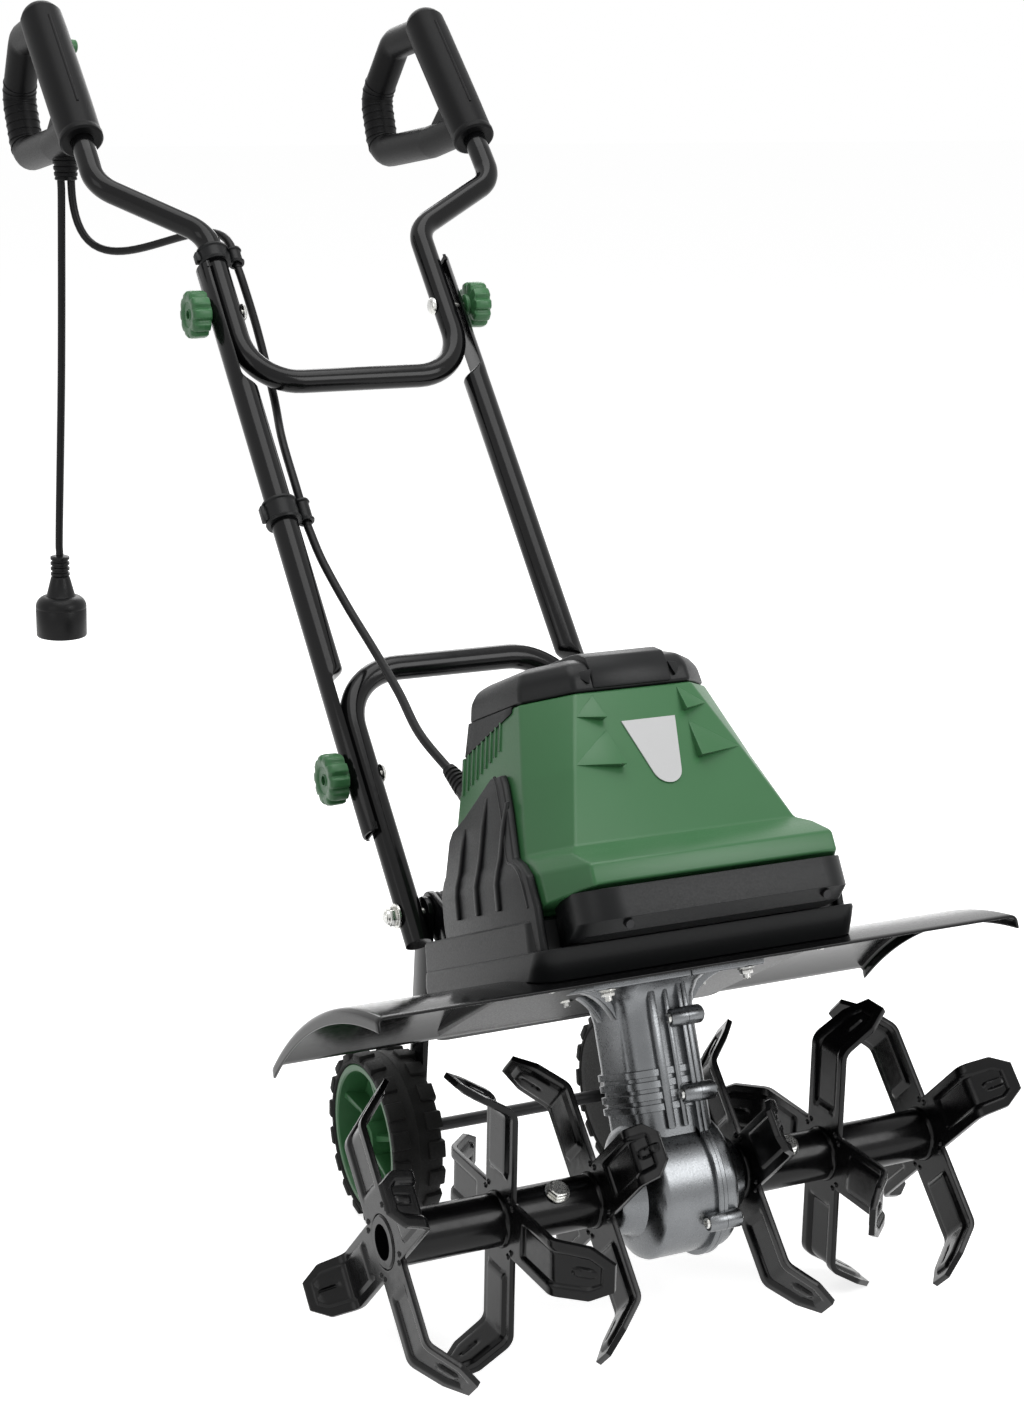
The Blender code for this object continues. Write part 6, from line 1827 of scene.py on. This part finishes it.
# One rib of the boot: distance along it and dip below its taper.
BOOT_RIB = ((0.0, 0.0009), (0.0008, 0.0), (0.0034, 0.0003), (0.0042, 0.0012))

rib = [(-0.0011, BOW_R - 0.001), (-0.0009, BOW_R + RIB_RISE * 0.6), (0.0, BOW_R + RIB_RISE)]
rib += [(0.0009, BOW_R + RIB_RISE * 0.6), (0.0011, BOW_R - 0.001)]
boot = [(-0.004, 0.0), (-0.004, 0.0125), (0.004, BOOT_R)]
for index in range(BOOT_RIBS):
    start = 0.006 + BOOT_PITCH * index
    taper = BOOT_R - 0.0030 * (index + 1) / (BOOT_RIBS + 1)
    boot += [(start + step, taper - dip) for step, dip in BOOT_RIB]
boot += [(BOOT_LENGTH - 0.0008, 0.0100), (BOOT_LENGTH, 0.0092), (BOOT_LENGTH, 0.0)]
down = Matrix.Rotation(math.radians(-HANDLE_TILT - GRIP_TILT), 3, "X") @ Vector((0.0, 0.0, -1.0))

for side, hand in HANDS.items():
    place = GRIPS[side]
    grip_bm = assembled(place @ ALONG_Y, turned(sleeve, 64))
    corners = [(side * BOW_TILT * z, y, z) for y, z in GRIP_BOW]
    path = rounded_path(corners, [BOW_BEND] * len(GRIP_BOW), 10)
    joined(grip_bm, bar(path, BOW_R, 9), place)
    lean = side * 0.001
    joined(grip_bm, plate(GRIP_WEB, (-WEB_HALF - lean, WEB_HALF - lean), 0.0030), place)
    for index in range(FINGER_RIBS):
        spot, way = path_spot(path, RIB_SHARES[0] + RIB_SHARES[1] * index)
        joined(grip_bm, turned(rib, 40), place @ Matrix.Translation(spot) @ facing(way))
    joined(grip_bm, bar(SPINE, SPINE_R, 3), place)
    if side < 0:
        joined(grip_bm, turned(boot, 40), place @ Matrix.Translation(BOOT_AT) @ facing(down))
    add_piece(f"{hand}_moulded_grip", grip_bm, GRIP_POLYPROPYLENE, "upper_frame", [f"{hand}_grip"])

# %% [markdown]
# ## Switch lever and safety button
# Under the left sleeve lies the green switch lever, and on its inner flank the safety button that has
# to be pressed first. The lever is a plate with well-rounded edges that bellies out under the finger,
# the button a turned cap with a slightly dished crown.

# %% Lever and button
LEVER_PIVOT = (0.130, -0.0165)
LEVER_HALF = 0.0048
LEVER_Y = (0.0685, 0.1335)
BUTTON_Y = 0.116
BUTTON_R = 0.006
BUTTON_X = (0.0148, 0.0235)

y0 = LEVER_Y[0] - LEVER_PIVOT[0]
y1 = LEVER_Y[1] - LEVER_PIVOT[0]
outline = [(y1, 0.0028), (-0.003, 0.0038), (y0 + 0.012, -0.0016), (y0, -0.0036), (y0, -0.0148)]
outline += [(y0 + 0.005, -0.0178), (y0 + 0.014, -0.0198), (-0.034, -0.0186), (-0.022, -0.0154)]
outline += [(-0.008, -0.0098), (y1, -0.0058)]
lever_place = GRIPS[-1] @ Matrix.Translation((0.0, *LEVER_PIVOT))
lever_bm = assembled(lever_place, plate(outline, (-LEVER_HALF, LEVER_HALF), 0.0016))
add_piece("green_switch_lever", lever_bm, COVER_ABS, "switch_lever", ["switch_lever"])
low, high = BUTTON_X
cap_line = [(low, 0.0), (low, BUTTON_R), (high - 0.0016, BUTTON_R), (high - 0.0006, BUTTON_R * 0.90)]
cap_line += [(high, BUTTON_R * 0.72), (high - 0.0004, BUTTON_R * 0.40), (high - 0.0006, 0.0)]
button_bm = assembled(GRIPS[-1] @ Matrix.Translation((0.0, BUTTON_Y, 0.0)), turned(cap_line, 40))
add_piece("green_safety_button", button_bm, COVER_ABS, "safety_button", ["safety_button"])
